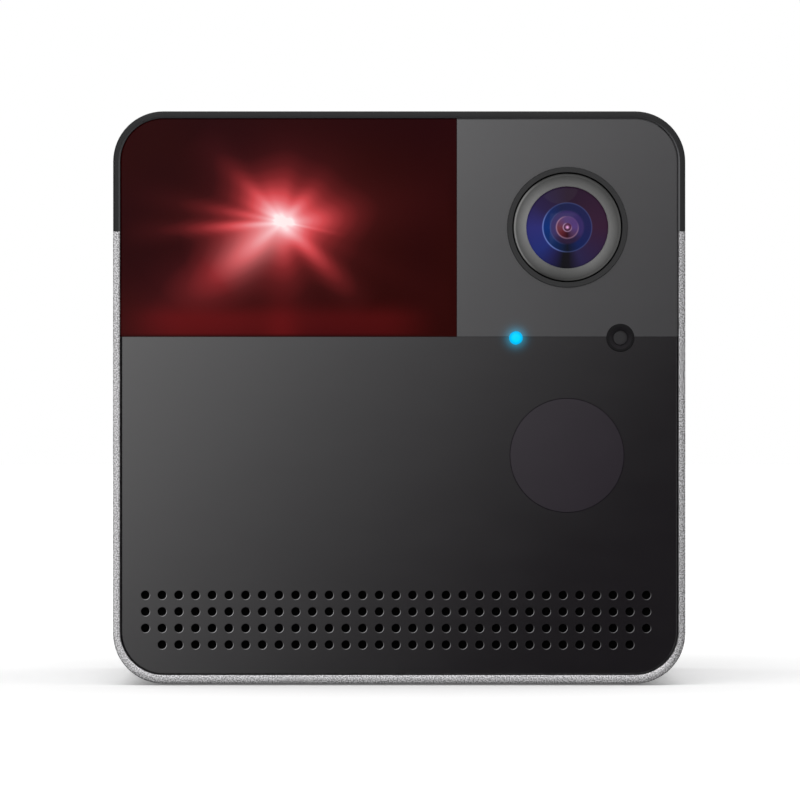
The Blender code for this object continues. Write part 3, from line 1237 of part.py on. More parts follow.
    can_right = LASER_X + ARM_INNER - SEAT
    can_left = can_right - TILT_MOTOR_LENGTH
    shaft_right = LASER_X + GEAR_RIGHT
    motor = rods("tilt_motor", [((middle((can_left, can_right)), LASER_Y, shaft_z),
                                 TILT_MOTOR_RADIUS, TILT_MOTOR_LENGTH)], "X", "steel")
    shaft = rods("tilt_shaft", [((middle((can_left, shaft_right)), LASER_Y, shaft_z),
                                 SHAFT_RADIUS, shaft_right - can_left - SEAT)], "X",
                 steps=TINY_STEPS)
    join(motor, shaft)
    hang(motor, pan_axis)
    to_floor = 3 * math.pi / 2
    gear_x = LASER_X + middle((GEAR_LEFT, GEAR_RIGHT))
    pinion = flat_outline("tilt_pinion", pinion_loops(to_floor + math.pi), GEAR_THICK, "X",
                          (gear_x, LASER_Y, shaft_z), "brass")
    hang(pinion, pan_axis)

    cradle = flat_outline("laser_cradle", [gear_sector(TILT_TEETH_EACH_SIDE, GEAR_HUB, to_floor)],
                          GEAR_THICK, "X", (gear_x, LASER_Y, LASER_Z), "white_moulding")
    half = CRADLE_LENGTH / 2
    sleeve = rods("cradle_sleeve", [rod_along_y(LASER_X, LASER_Z, CRADLE_RADIUS, LASER_Y - half,
                                                LASER_Y + half)], "Y", steps=24)
    trunnion = rods("cradle_trunnions", [((LASER_X + (GEAR_LEFT + GEAR_THICK / 2 - ARM_OUTER) / 2,
                                           LASER_Y, LASER_Z), TRUNNION,
                                          GEAR_LEFT + GEAR_THICK / 2 + ARM_OUTER)], "X",
                    steps=TINY_STEPS)
    bore = rods("cradle_bore", [rod_along_y(LASER_X, LASER_Z, LASER_RADIUS + LENS_FIT,
                                            LASER_Y - half - OVERRUN, LASER_Y + half + OVERRUN)],
                "Y", steps=24)
    join(cradle, trunnion, sleeve)
    cut(cradle, bore)
    hang(cradle, tilt_axis)
    muzzle = LASER_Y - LASER_LENGTH / 2
    tail = LASER_Y + LASER_LENGTH / 2
    barrel = turned("laser_barrel", [(LASER_MOUTH, muzzle), (LASER_RADIUS, muzzle),
                                     (LASER_RADIUS, tail), (0, tail),
                                     (0, muzzle + LASER_MOUTH_DEPTH),
                                     (LASER_MOUTH, muzzle + LASER_MOUTH_DEPTH)],
                    LASER_X, LASER_Z, "Y", "brass", 24, True)
    lens_back = muzzle + LASER_MOUTH_DEPTH - SEAT
    lens = rods("laser_lens", [rod_along_y(LASER_X, LASER_Z, LASER_MOUTH - LENS_FIT,
                                           lens_back - LASER_LENS_THICK, lens_back)], "Y",
                "lens_glass")
    hang(barrel, tilt_axis)
    hang(lens, tilt_axis)


def make_floor():
    """Base plate with board posts, tripod thread and rubber foot."""
    base = block("base_plate", ((-BASE_HALF_WIDTH, BASE_HALF_WIDTH), (BASE_FRONT, BASE_REAR),
                                (BASE_BOTTOM, BASE_TOP)), "black_moulding", BOARD_POST, "Z",
                 steps=3)
    root = BASE_BOTTOM + BASE_PLATE_THICK / 2
    places = board_post_places()
    posts = rods("base_posts", [rod_along_z(0, 0, INSERT_BOSS, root, INSERT_TOP)]
                 + [rod_along_z(x, y, BOARD_POST, root, POST_TOP) for x, y in places], "Z",
                 steps=20)
    pins = rods("base_pins", [rod_along_z(x, y, POST_PIN, root, BOARD_TOP + POST_PIN_STAND)
                              for x, y in places], "Z", steps=TINY_STEPS)
    hole = rods("insert_hole", [rod_along_z(0, 0, INSERT_RADIUS + SEAM, BASE_BOTTOM - OVERRUN,
                                            INSERT_TOP + OVERRUN)], "Z", steps=24)
    join(base, posts, pins)
    cut(base, hole)
    turned("tripod_insert", [(INSERT_RADIUS, INSERT_TOP), (INSERT_RADIUS, INSERT_BOTTOM),
                             (INSERT_BORE, INSERT_BOTTOM), (INSERT_BORE, INSERT_TOP)],
           0, 0, "Z", "brass", 24, True)
    foot = block("foot_pad", ((-FOOT_WIDTH / 2, FOOT_WIDTH / 2), (-FOOT_DEPTH / 2, FOOT_DEPTH / 2),
                              (0, FOOT_THICK)), "rubber", FOOT_CORNER, "Z")
    opening = rods("foot_opening", [rod_along_z(0, 0, INSERT_RADIUS + SEAT, -OVERRUN,
                                                FOOT_THICK + OVERRUN)], "Z", steps=24)
    cut(foot, opening)


def board_post_places():
    """Return the four places of the posts under the main board."""
    side = BASE_HALF_WIDTH - BOARD_POST_INSET
    front = BASE_FRONT + BOARD_POST_INSET
    rear = BASE_REAR - BOARD_POST_INSET
    return [(-side, front), (side, front), (-side, rear), (side, rear)]


def make_electronics():
    """Main board with its heat sink, radio module, socket and switch, and the antenna."""
    board = block("main_board", ((-BOARD_HALF_WIDTH, BOARD_HALF_WIDTH), (BOARD_FRONT, BOARD_REAR),
                                 (BOARD_BOTTOM, BOARD_TOP)), "green_board")
    root = BOARD_BOTTOM + BOARD_THICK / 2
    half = COIL_BLOCK_SIDE / 2
    coil = blocks("power_coil", [((COIL_BLOCK_X - half, COIL_BLOCK_X + half),
                                  (COIL_BLOCK_Y - half, COIL_BLOCK_Y + half),
                                  (root, BOARD_TOP + COIL_BLOCK_HEIGHT))])
    can = rods("power_can", [rod_along_z(CAN_X, CAN_Y, CAN_RADIUS, root, BOARD_TOP + CAN_HEIGHT)],
               "Z")
    holes = rods("board_holes", [rod_along_z(x, y, POST_PIN + PANE_GAP, BOARD_BOTTOM - OVERRUN,
                                             BOARD_TOP + OVERRUN)
                                 for x, y in board_post_places()], "Z", steps=TINY_STEPS)
    join(board, coil, can)
    cut(board, holes)

    half = HEAT_SINK_SIDE / 2
    sink = block("heat_sink", ((HEAT_SINK_X - half, HEAT_SINK_X + half),
                               (HEAT_SINK_Y - half, HEAT_SINK_Y + half),
                               (ON_BOARD, ON_BOARD + HEAT_SINK_HEIGHT)), "dark_metal")
    pitch = (HEAT_SINK_SIDE - HEAT_SINK_FIN) / (HEAT_SINK_FINS - 1)
    grooves = []
    for fin in range(HEAT_SINK_FINS - 1):
        left = HEAT_SINK_X - half + fin * pitch + HEAT_SINK_FIN
        grooves.append(((left, left + pitch - HEAT_SINK_FIN),
                        (HEAT_SINK_Y - half - OVERRUN, HEAT_SINK_Y + half + OVERRUN),
                        (ON_BOARD + HEAT_SINK_BASE, ON_BOARD + HEAT_SINK_HEIGHT + OVERRUN)))
    cut(sink, blocks("sink_grooves", grooves))
    block("wireless_module", ((WIRELESS_X - WIRELESS_LENGTH / 2, WIRELESS_X + WIRELESS_LENGTH / 2),
                              (WIRELESS_Y - WIRELESS_WIDTH / 2, WIRELESS_Y + WIRELESS_WIDTH / 2),
                              (ON_BOARD, ON_BOARD + WIRELESS_THICK)), "steel")
    top = FRAME_INSIDE_TOP - SEAM
    block("antenna", ((ANTENNA_LEFT_X, ANTENNA_RIGHT_X),
                      (BEHIND_FRAME, BEHIND_FRAME + ANTENNA_DEPTH), (top - ANTENNA_THICK, top)),
          "copper")

    half = SOCKET_WIDTH / 2
    low = ON_BOARD
    high = ON_BOARD + SOCKET_HEIGHT
    socket = block("power_socket", ((-half, half), (SOCKET_FRONT, SOCKET_REAR), (low, high)),
                   "steel", SOCKET_HEIGHT / 3, "Y", steps=3)
    mouth = block("socket_mouth", ((-half + SOCKET_SHELL, half - SOCKET_SHELL),
                                   (SOCKET_FRONT + SOCKET_BACK_WALL, SOCKET_REAR + OVERRUN),
                                   (low + SOCKET_SHELL, high - SOCKET_SHELL)),
                  None, SOCKET_HEIGHT / 3 - SOCKET_SHELL, "Y", steps=3)
    tongue = block("socket_tongue", ((-SOCKET_TONGUE_WIDTH / 2, SOCKET_TONGUE_WIDTH / 2),
                                     (SOCKET_FRONT + SOCKET_BACK_WALL / 2,
                                      SOCKET_REAR - SOCKET_BACK_WALL),
                                     (SOCKET_Z - SOCKET_TONGUE_THICK / 2,
                                      SOCKET_Z + SOCKET_TONGUE_THICK / 2)))
    cut(socket, mouth)
    join(socket, tongue)
    half = SWITCH_WIDTH / 2
    block("reset_switch", ((BUTTON_X - half, BUTTON_X + half),
                           (BOARD_REAR - SWITCH_LENGTH, BOARD_REAR),
                           (ON_BOARD, ON_BOARD + SWITCH_HEIGHT)), "black_moulding")


def make_back():
    """Back cover with its screws and the reset button."""
    cover = body_block("back_cover", BACK_Y - COVER_FLANGE, BACK_Y, "black_moulding")
    lip = bore_block("cover_lip", LIP_FRONT, BACK_Y - COVER_PANEL / 2, SEAT)
    pocket = bore_block("cover_pocket", LIP_FRONT - OVERRUN, COVER_INSIDE, SEAT + COVER_LIP_WALL)
    places = corner_places(RIB_INSET)
    inside = BACK_Y - COVER_PANEL / 2
    bosses = rods("cover_bosses", [rod_along_y(x, z, CORNER_BOSS, LIP_FRONT + SEAM, inside)
                                   for x, z in places], "Y")
    drill = rods("cover_drill", [rod_along_y(x, z, CORNER_SCREW_HOLE, LIP_FRONT - OVERRUN,
                                             BACK_Y + OVERRUN) for x, z in places]
                 + [rod_along_y(BUTTON_X, BUTTON_Z, BUTTON_RADIUS + BUTTON_CLEAR,
                                COVER_INSIDE - OVERRUN, BACK_Y + OVERRUN)], "Y",
                 steps=TINY_STEPS)
    sinks = rods("cover_counterbores", [rod_along_y(x, z, COUNTERBORE, BACK_Y - COUNTERBORE_DEPTH,
                                                    BACK_Y + OVERRUN) for x, z in places], "Y")
    plug = block("plug_opening", ((-PLUG_WIDTH / 2, PLUG_WIDTH / 2),
                                  (COVER_INSIDE - OVERRUN, BACK_Y + OVERRUN),
                                  (SOCKET_Z - PLUG_HEIGHT / 2, SOCKET_Z + PLUG_HEIGHT / 2)),
                 None, PLUG_CORNER, "Y", steps=4)
    vents = []
    for number in range(VENT_COUNT):
        x = (number - (VENT_COUNT - 1) / 2) * VENT_PITCH
        vents.append(((x - VENT_WIDTH / 2, x + VENT_WIDTH / 2),
                      (COVER_INSIDE - OVERRUN, BACK_Y + OVERRUN),
                      (MID_Z + VENT_BOTTOM_UP, MID_Z + VENT_BOTTOM_UP + VENT_HEIGHT)))
    join(cover, lip)
    cut(cover, pocket)
    join(cover, bosses)
    cut(cover, drill, sinks, plug, blocks("cover_vents", vents))

    seat = BACK_Y - COUNTERBORE_DEPTH + SEAT
    names = ("bottom_left", "bottom_right", "top_left", "top_right")
    hexes = rods("hex_drives", [rod_along_y(x, z, HEX_DRIVE,
                                            seat + CORNER_SCREW_HEAD_THICK - HEX_DEPTH,
                                            BACK_Y + OVERRUN) for x, z in places], "Y", steps=6)
    for name, (x, z) in zip(names, places):
        end = seat + CORNER_SCREW_HEAD_THICK
        tip = seat - CORNER_SCREW_LENGTH
        screw = turned("back_screw_" + name, [(0, tip), (CORNER_SCREW_RADIUS, tip),
                                              (CORNER_SCREW_RADIUS, seat),
                                              (CORNER_SCREW_HEAD, seat), (CORNER_SCREW_HEAD, end),
                                              (0, end)], x, z, "Y", "steel", TINY_STEPS)
        cut(screw, hexes)

    flange = COVER_INSIDE - SEAT
    button = turned("reset_button", [(0, BUTTON_INNER), (BUTTON_RADIUS, BUTTON_INNER),
                                     (BUTTON_RADIUS, flange - BUTTON_FLANGE_THICK),
                                     (BUTTON_FLANGE, flange - BUTTON_FLANGE_THICK),
                                     (BUTTON_FLANGE, flange), (BUTTON_RADIUS, flange),
                                     (BUTTON_RADIUS, BUTTON_OUTER), (0, BUTTON_OUTER)],
                    BUTTON_X, BUTTON_Z, "Y", "grey_moulding", SMALL_STEPS)
    hang(button, joint_empty("button_travel", (BUTTON_X, flange, BUTTON_Z)))


make_sleeve()
make_visor()
make_panes()
make_front_frame()
make_lens()
make_camera()
make_lights()
make_speaker()
make_laser()
make_floor()
make_electronics()
make_back()
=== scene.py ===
"""Looks of a square table-top pet camera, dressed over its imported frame.

The front faces -Y, +X is the viewer's right and +Z is up. Lengths are in millimetres, in the same
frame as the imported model, except in the studio, whose lengths are in metres.
"""
import json
import logging
import math
from dataclasses import dataclass, field
from enum import Enum
from typing import Any, Dict, Iterable, List, Optional, Sequence, Tuple, Union

import bmesh
import bpy
from mathutils import Matrix, Vector


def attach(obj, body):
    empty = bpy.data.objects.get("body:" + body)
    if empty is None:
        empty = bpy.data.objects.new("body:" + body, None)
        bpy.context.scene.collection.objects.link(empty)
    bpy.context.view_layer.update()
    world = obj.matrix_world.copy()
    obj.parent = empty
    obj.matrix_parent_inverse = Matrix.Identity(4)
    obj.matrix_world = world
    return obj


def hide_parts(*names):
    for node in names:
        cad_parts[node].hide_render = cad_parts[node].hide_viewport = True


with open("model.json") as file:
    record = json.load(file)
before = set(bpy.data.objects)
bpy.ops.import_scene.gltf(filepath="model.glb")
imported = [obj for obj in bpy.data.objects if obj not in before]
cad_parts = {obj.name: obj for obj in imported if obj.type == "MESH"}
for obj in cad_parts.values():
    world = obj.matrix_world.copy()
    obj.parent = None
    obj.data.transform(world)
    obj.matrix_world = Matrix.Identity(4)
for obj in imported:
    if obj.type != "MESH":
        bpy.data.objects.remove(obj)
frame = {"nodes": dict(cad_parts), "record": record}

METRES = 0.001
SAME = 0.001
CUT = 0.0001
MERGE = 0.0002
FLAT = 0.99
PLATE_STEPS = 16
SMOOTH = 30.0

Span = Tuple[float, float]
Point = Tuple[float, float]
Disc = Tuple[float, float, float]
Colour = Tuple[float, float, float]
Stops = Tuple[Tuple[float, Colour], ...]
Operand = Union["Signal", float]

DARK: Colour = (0.0, 0.0, 0.0)
BRIGHT: Colour = (1.0, 1.0, 1.0)
LENS: Point = (21.75, 59.5)
LAMP: Point = (15.1, 45.2)
Report = logging.getLogger("pet_camera")


class Slot(Enum):
    """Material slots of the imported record."""

    SLEEVE = "bead_blasted_aluminium"
    SMOKED = "smoked_gloss"
    RED = "red_gloss"
    BLACK = "black_moulding"
    GREY = "grey_moulding"
    WHITE = "white_moulding"
    BOARD = "green_board"
    DARK_METAL = "dark_metal"
    STEEL = "steel"
    BRASS = "brass"
    COPPER = "copper"
    LENS = "lens_glass"
    LAMP = "lamp_glass"
    CYAN = "cyan_light"
    RUBBER = "rubber"
    PAPER = "paper_cone"


class Corner(Enum):
    """Corners of a sheet that is seen from the front, as signs of X and Z."""

    BOTTOM_LEFT = (-1, -1)
    BOTTOM_RIGHT = (1, -1)
    TOP_LEFT = (-1, 1)
    TOP_RIGHT = (1, 1)


def near(first: float, second: float) -> bool:
    """Tell whether two lengths are the same but for rounding."""
    return abs(first - second) < SAME


def shade(red: float, green: float, blue: float) -> Colour:
    """Turn a display colour of 0 to 255 into the linear colour that a shader takes.

    Args:
        red: Red on the display.
        green: Green on the display.
        blue: Blue on the display.

    Returns:
        The linear colour.
    """
    linear = []
    for value in (red, green, blue):
        part = value / 255
        linear.append(part / 12.92 if part <= 0.04045 else ((part + 0.055) / 1.055) ** 2.4)
    return (linear[0], linear[1], linear[2])


class Signal:
    """A shader socket that takes part in Python expressions."""

    def __init__(self, recipe: "Recipe", socket: bpy.types.NodeSocket) -> None:
        """Keep the socket and the recipe that its node belongs to."""
        self.recipe = recipe
        self.socket = socket

    def __add__(self, other: Operand) -> "Signal":
        """Add."""
        return self.recipe.maths("ADD", self, other)

    __radd__ = __add__

    def __sub__(self, other: Operand) -> "Signal":
        """Subtract."""
        return self.recipe.maths("SUBTRACT", self, other)

    def __rsub__(self, other: Operand) -> "Signal":
        """Subtract from a number."""
        return self.recipe.maths("SUBTRACT", other, self)

    def __mul__(self, other: Operand) -> "Signal":
        """Multiply."""
        return self.recipe.maths("MULTIPLY", self, other)

    __rmul__ = __mul__

    def __truediv__(self, other: Operand) -> "Signal":
        """Divide."""
        return self.recipe.maths("DIVIDE", self, other)

    def __rtruediv__(self, other: Operand) -> "Signal":
        """Divide a number."""
        return self.recipe.maths("DIVIDE", other, self)

    def __pow__(self, other: Operand) -> "Signal":
        """Raise to a power."""
        return self.recipe.maths("POWER", self, other)

    def __neg__(self) -> "Signal":
        """Change the sign."""
        return self * -1.0

    def at_least(self, other: Operand) -> "Signal":
        """Keep the larger of two values."""
        return self.recipe.maths("MAXIMUM", self, other)

    def at_most(self, other: Operand) -> "Signal":
        """Keep the smaller of two values."""
        return self.recipe.maths("MINIMUM", self, other)

    def share(self) -> "Signal":
        """Keep the value between 0 and 1."""
        return self.at_least(0.0).at_most(1.0)

    def bell(self) -> "Signal":
        """Return a bell curve of this value, 1 at zero."""
        return self.recipe.maths("EXPONENT", -(self * self))

    def band(self, middle: float, width: float) -> "Signal":
        """Return a bell curve of some width, 1 at a middle value."""
        return ((self - middle) / width).bell()

    def about(self, middle: float, spread: float) -> "Signal":
        """Turn noise of 0 to 1 into a value that spreads about a middle."""
        return self * spread + (middle - spread / 2)

    def rise(self, low: float, high: float) -> "Signal":
        """Rise smoothly from 0 at low to 1 at high.

        Args:
            low: Value where the rise starts.
            high: Value where it ends, which may be the smaller one.

        Returns:
            The share, between 0 and 1.
        """
        return self.recipe.signal("ShaderNodeMapRange", "Result",
                                  {"interpolation_type": "SMOOTHSTEP"},
                                  {"Value": self, "From Min": low, "From Max": high})


@dataclass(frozen=True)
class RoundPlace:
    """Where a point lies, seen from the centre of something round on the front."""

    right: Signal
    up: Signal
    away: Signal
    least: float = 0.05

    def toward(self, right: float, up: float) -> Signal:
        """Return how well the point's direction agrees with another one, 1 at best."""
        return (self.right * right + self.up * up) / self.away.at_least(self.least)


class Recipe:
    """A node tree in the making, for a finish or for the world."""

    def __init__(self, tree: bpy.types.NodeTree) -> None:
        """Start from an empty tree."""
        self.tree = tree
        tree.nodes.clear()

    def node(self, kind: str, settings: Dict[str, Any], sockets: Dict[Any, Any]) -> bpy.types.Node:
        """Add a node.

        Args:
            kind: The node's type.
            settings: Its settings, which are set first. The key "stops" fills a colour ramp.
            sockets: Values or signals of its sockets, by name or number.

        Returns:
            The node.
        """
        made = self.tree.nodes.new(kind)
        for key, value in settings.items():
            if key == "stops":
                ramp = made.color_ramp
                while len(ramp.elements) < len(value):
                    ramp.elements.new(1.0)
                for element, (place, colour) in zip(ramp.elements, value):
                    element.position = place
                    element.color = (*colour, 1.0)
            else:
                setattr(made, key, value)
        for key, value in sockets.items():
            socket = made.inputs[key]
            if isinstance(value, Signal):
                self.tree.links.new(value.socket, socket)
            elif isinstance(value, tuple) and len(value) == 3 and socket.type == "RGBA":
                socket.default_value = (*value, 1.0)
            else:
                socket.default_value = value
        return made

    def signal(self, kind: str, output: Union[int, str], settings: Dict[str, Any],
               sockets: Dict[Any, Any]) -> Signal:
        """Add a node and return its output of this name or number."""
        return Signal(self, self.node(kind, settings, sockets).outputs[output])

    def maths(self, operation: str, *values: Operand) -> Signal:
        """Add one Math node with these values."""
        return self.signal("ShaderNodeMath", 0, {"operation": operation}, dict(enumerate(values)))

    def place(self) -> Signal:
        """Return the place on the piece, in metres, as a vector."""
        return self.signal("ShaderNodeTexCoord", "Object", {}, {})

    def mark(self) -> Signal:
        """Return the strength of the painted light or shade on the marked faces, zero elsewhere.
        """
        return self.signal("ShaderNodeAttribute", "Fac", {"attribute_name": "mark"}, {})

    def across_and_up(self, x: float, z: float) -> Tuple[Signal, Signal]:
        """Return how far a point lies right of and above a place on the front.

        Args:
            x: Place across, in millimetres.
            z: Height, in millimetres.

        Returns:
            The two distances, in millimetres.
        """
        split = self.node("ShaderNodeSeparateXYZ", {}, {0: self.place()})
        right = Signal(self, split.outputs["X"]) / METRES - x
        up = Signal(self, split.outputs["Z"]) / METRES - z
        return right, up

    def seen_from(self, x: float, z: float) -> RoundPlace:
        """Return where a point lies round this centre on the front, in millimetres."""
        right, up = self.across_and_up(x, z)
        return RoundPlace(right, up, (right * right + up * up) ** 0.5)

    def depth(self) -> Signal:
        """Return the place in depth, in millimetres."""
        return self.signal("ShaderNodeSeparateXYZ", "Y", {}, {0: self.place()}) / METRES

    def grain(self, per_mm: float, detail: float = 2.0, roughness: float = 0.5,
              stretch: Colour = BRIGHT) -> Signal:
        """Return even noise.

        Args:
            per_mm: How many grains lie in a millimetre.
            detail: Finer layers of the noise.
            roughness: How strong the finer layers are.
            stretch: How much denser the grains are along X, Y and Z.

        Returns:
            Noise of about 0.5.
        """
        spot = self.signal("ShaderNodeMapping", 0, {}, {"Vector": self.place(), "Scale": stretch})
        return self.signal("ShaderNodeTexNoise", 0, {}, {
            "Vector": spot, "Scale": per_mm / METRES, "Detail": detail, "Roughness": roughness})

    def blend(self, share: Operand, first: Any, second: Any) -> Signal:
        """Mix two colours or signals, by the share of the second."""
        return self.signal("ShaderNodeMix", 2, {"data_type": "RGBA"},
                           {0: share, 6: first, 7: second})

    def vary(self, share: Operand, colour: Colour, low: float, high: float = 1.0) -> Signal:
        """Vary a colour between a darker and a lighter tone, by the share of the lighter."""
        tones = [tuple(min(1.0, level * part) for part in colour) for level in (low, high)]
        return self.blend(share, *tones)

    def ramp(self, value: Signal, stops: Stops) -> Signal:
        """Turn a value of 0 to 1 into a colour, by the places and colours of a ramp."""
        return self.signal("ShaderNodeValToRGB", 0, {"stops": stops}, {0: value})

    def bump(self, height: Signal, depth: float, strength: float = 1.0) -> Signal:
        """Turn a height of 0 to 1 into a normal, for a relief of this depth in millimetres."""
        return self.signal("ShaderNodeBump", 0, {}, {
            "Strength": strength, "Distance": depth * METRES, "Height": height})

    def close(self, sockets: Dict[str, Any]) -> None:
        """End the tree in one Principled shader with these sockets."""
        shader = self.signal("ShaderNodeBsdfPrincipled", 0, {}, sockets)
        self.node("ShaderNodeOutputMaterial", {}, {0: shader})


class Finish:
    """A surface finish that can be painted on pieces."""

    def mix(self, recipe: Recipe) -> Dict[str, Any]:
        """Return the shader's sockets for this finish."""
        raise NotImplementedError

    def material(self, name: str) -> bpy.types.Material:
        """Make a material of this finish.

        Args:
            name: The material's name.

        Returns:
            The material.
        """
        made = bpy.data.materials.new(name)
        made.use_nodes = True
        recipe = Recipe(made.node_tree)
        recipe.close(self.mix(recipe))
        return made


@dataclass(frozen=True)
class BlastedMetal(Finish):
    """Bead-blasted and anodised aluminium, with painted shade on the right and bottom of the front
    rim and painted light on the sides behind it.
    """

    dark: Colour = shade(84, 83, 85)
    light: Colour = shade(236, 235, 237)
    pits_band: Span = (0.32, 0.68)
    pits_tone: float = 0.54
    cloud_tone: float = 0.04
    base_tone: float = 0.21
    rim: Span = (-40.30, -40.38)
    # Painted shade: the front rim darker towards its right side and its bottom.
    right_side: Span = (34.0, 36.0)
    painted_right_shade: float = -0.17
    bottom: Span = (2.4, 1.5)
    painted_bottom_shade: float = -0.09
    # Painted light: the sides lighter further back from the front.
    body: Span = (-39.38, -26.38)
    painted_side_light: float = 0.2

    def mix(self, recipe: Recipe) -> Dict[str, Any]:
        """Return the shader's sockets for this finish.

        Args:
            recipe: The material's node tree.

        Returns:
            The shader's sockets, by name.
        """
        pits = recipe.grain(per_mm=6.0, detail=0.0)
        right, up = recipe.across_and_up(0.0, 0.0)
        depth = recipe.depth()
        # Painted shade on the front rim's right side and bottom, and painted light on the sides
        # behind the front.
        side = (right.rise(*self.right_side) * self.painted_right_shade
                + up.rise(*self.bottom) * self.painted_bottom_shade)
        tone = (pits.rise(*self.pits_band) * self.pits_tone
                + recipe.grain(per_mm=0.05) * self.cloud_tone + side * depth.rise(*self.rim)
                + depth.rise(*self.body) * self.painted_side_light + self.base_tone)
        return {"Base Color": recipe.blend(tone.share(), self.dark, self.light), "Metallic": 1.0,
                "Roughness": pits.about(middle=0.49, spread=0.10),
                "Normal": recipe.bump(pits, depth=0.01, strength=0.45)}


@dataclass(frozen=True)
class SmokedPane(Finish):
    """Glossy smoked plastic with a painted glow round the status light and painted glints on its
    marked chamfers.
    """

    tint: Colour = (0.0075, 0.0062, 0.0078)
    tones: Span = (0.86, 1.14)
    glow_reach: float = 1.05
    glow: Colour = shade(0, 148, 182)
    # Colour of the painted glints on the marked chamfers.
    glint: Colour = shade(176, 175, 177)
    wipe_marks: Colour = (1.0, 1.0, 2.5)

    def mix(self, recipe: Recipe) -> Dict[str, Any]:
        """Return the shader's sockets for this finish.

        Args:
            recipe: The material's node tree.

        Returns:
            The shader's sockets, by name.
        """
        wipe = recipe.grain(per_mm=0.12, detail=3.0, stretch=self.wipe_marks)
        # Painted glow of the status light round its pipe, and painted glints on the marked faces.
        near_lamp = (recipe.seen_from(*LAMP).away / self.glow_reach).bell()
        glow = recipe.blend(near_lamp, DARK, self.glow)
        return {"Base Color": recipe.vary(recipe.grain(per_mm=0.03), self.tint, *self.tones),
                "Roughness": wipe.about(middle=0.075, spread=0.05), "Specular IOR Level": 0.5,
                "Emission Color": recipe.blend(recipe.mark(), glow, self.glint),
                "Emission Strength": 1.0}


@dataclass(frozen=True)
class Ray:
    """One ray of the laser's star, painted as glowing light on the window."""

    angle: float
    length: float
    width: float
    strength: float
    fade: float
    spread: float
    start: Span = (-0.6, 1.2)

    def light(self, place: RoundPlace) -> Signal:
        """Return the ray's light at a point.

        Args:
            place: Where the point lies, seen from the star's middle.

        Returns:
            The light, up to the ray's strength.
        """
        cosine, sine = math.cos(math.radians(self.angle)), math.sin(math.radians(self.angle))
        along = place.right * cosine + place.up * sine
        aside = place.up * cosine - place.right * sine
        left = (1.0 - along / self.length).share() ** self.fade
        shape = (aside / (along.at_least(0.0) * self.spread + self.width)).bell()
        return left * along.rise(*self.start) * shape * self.strength


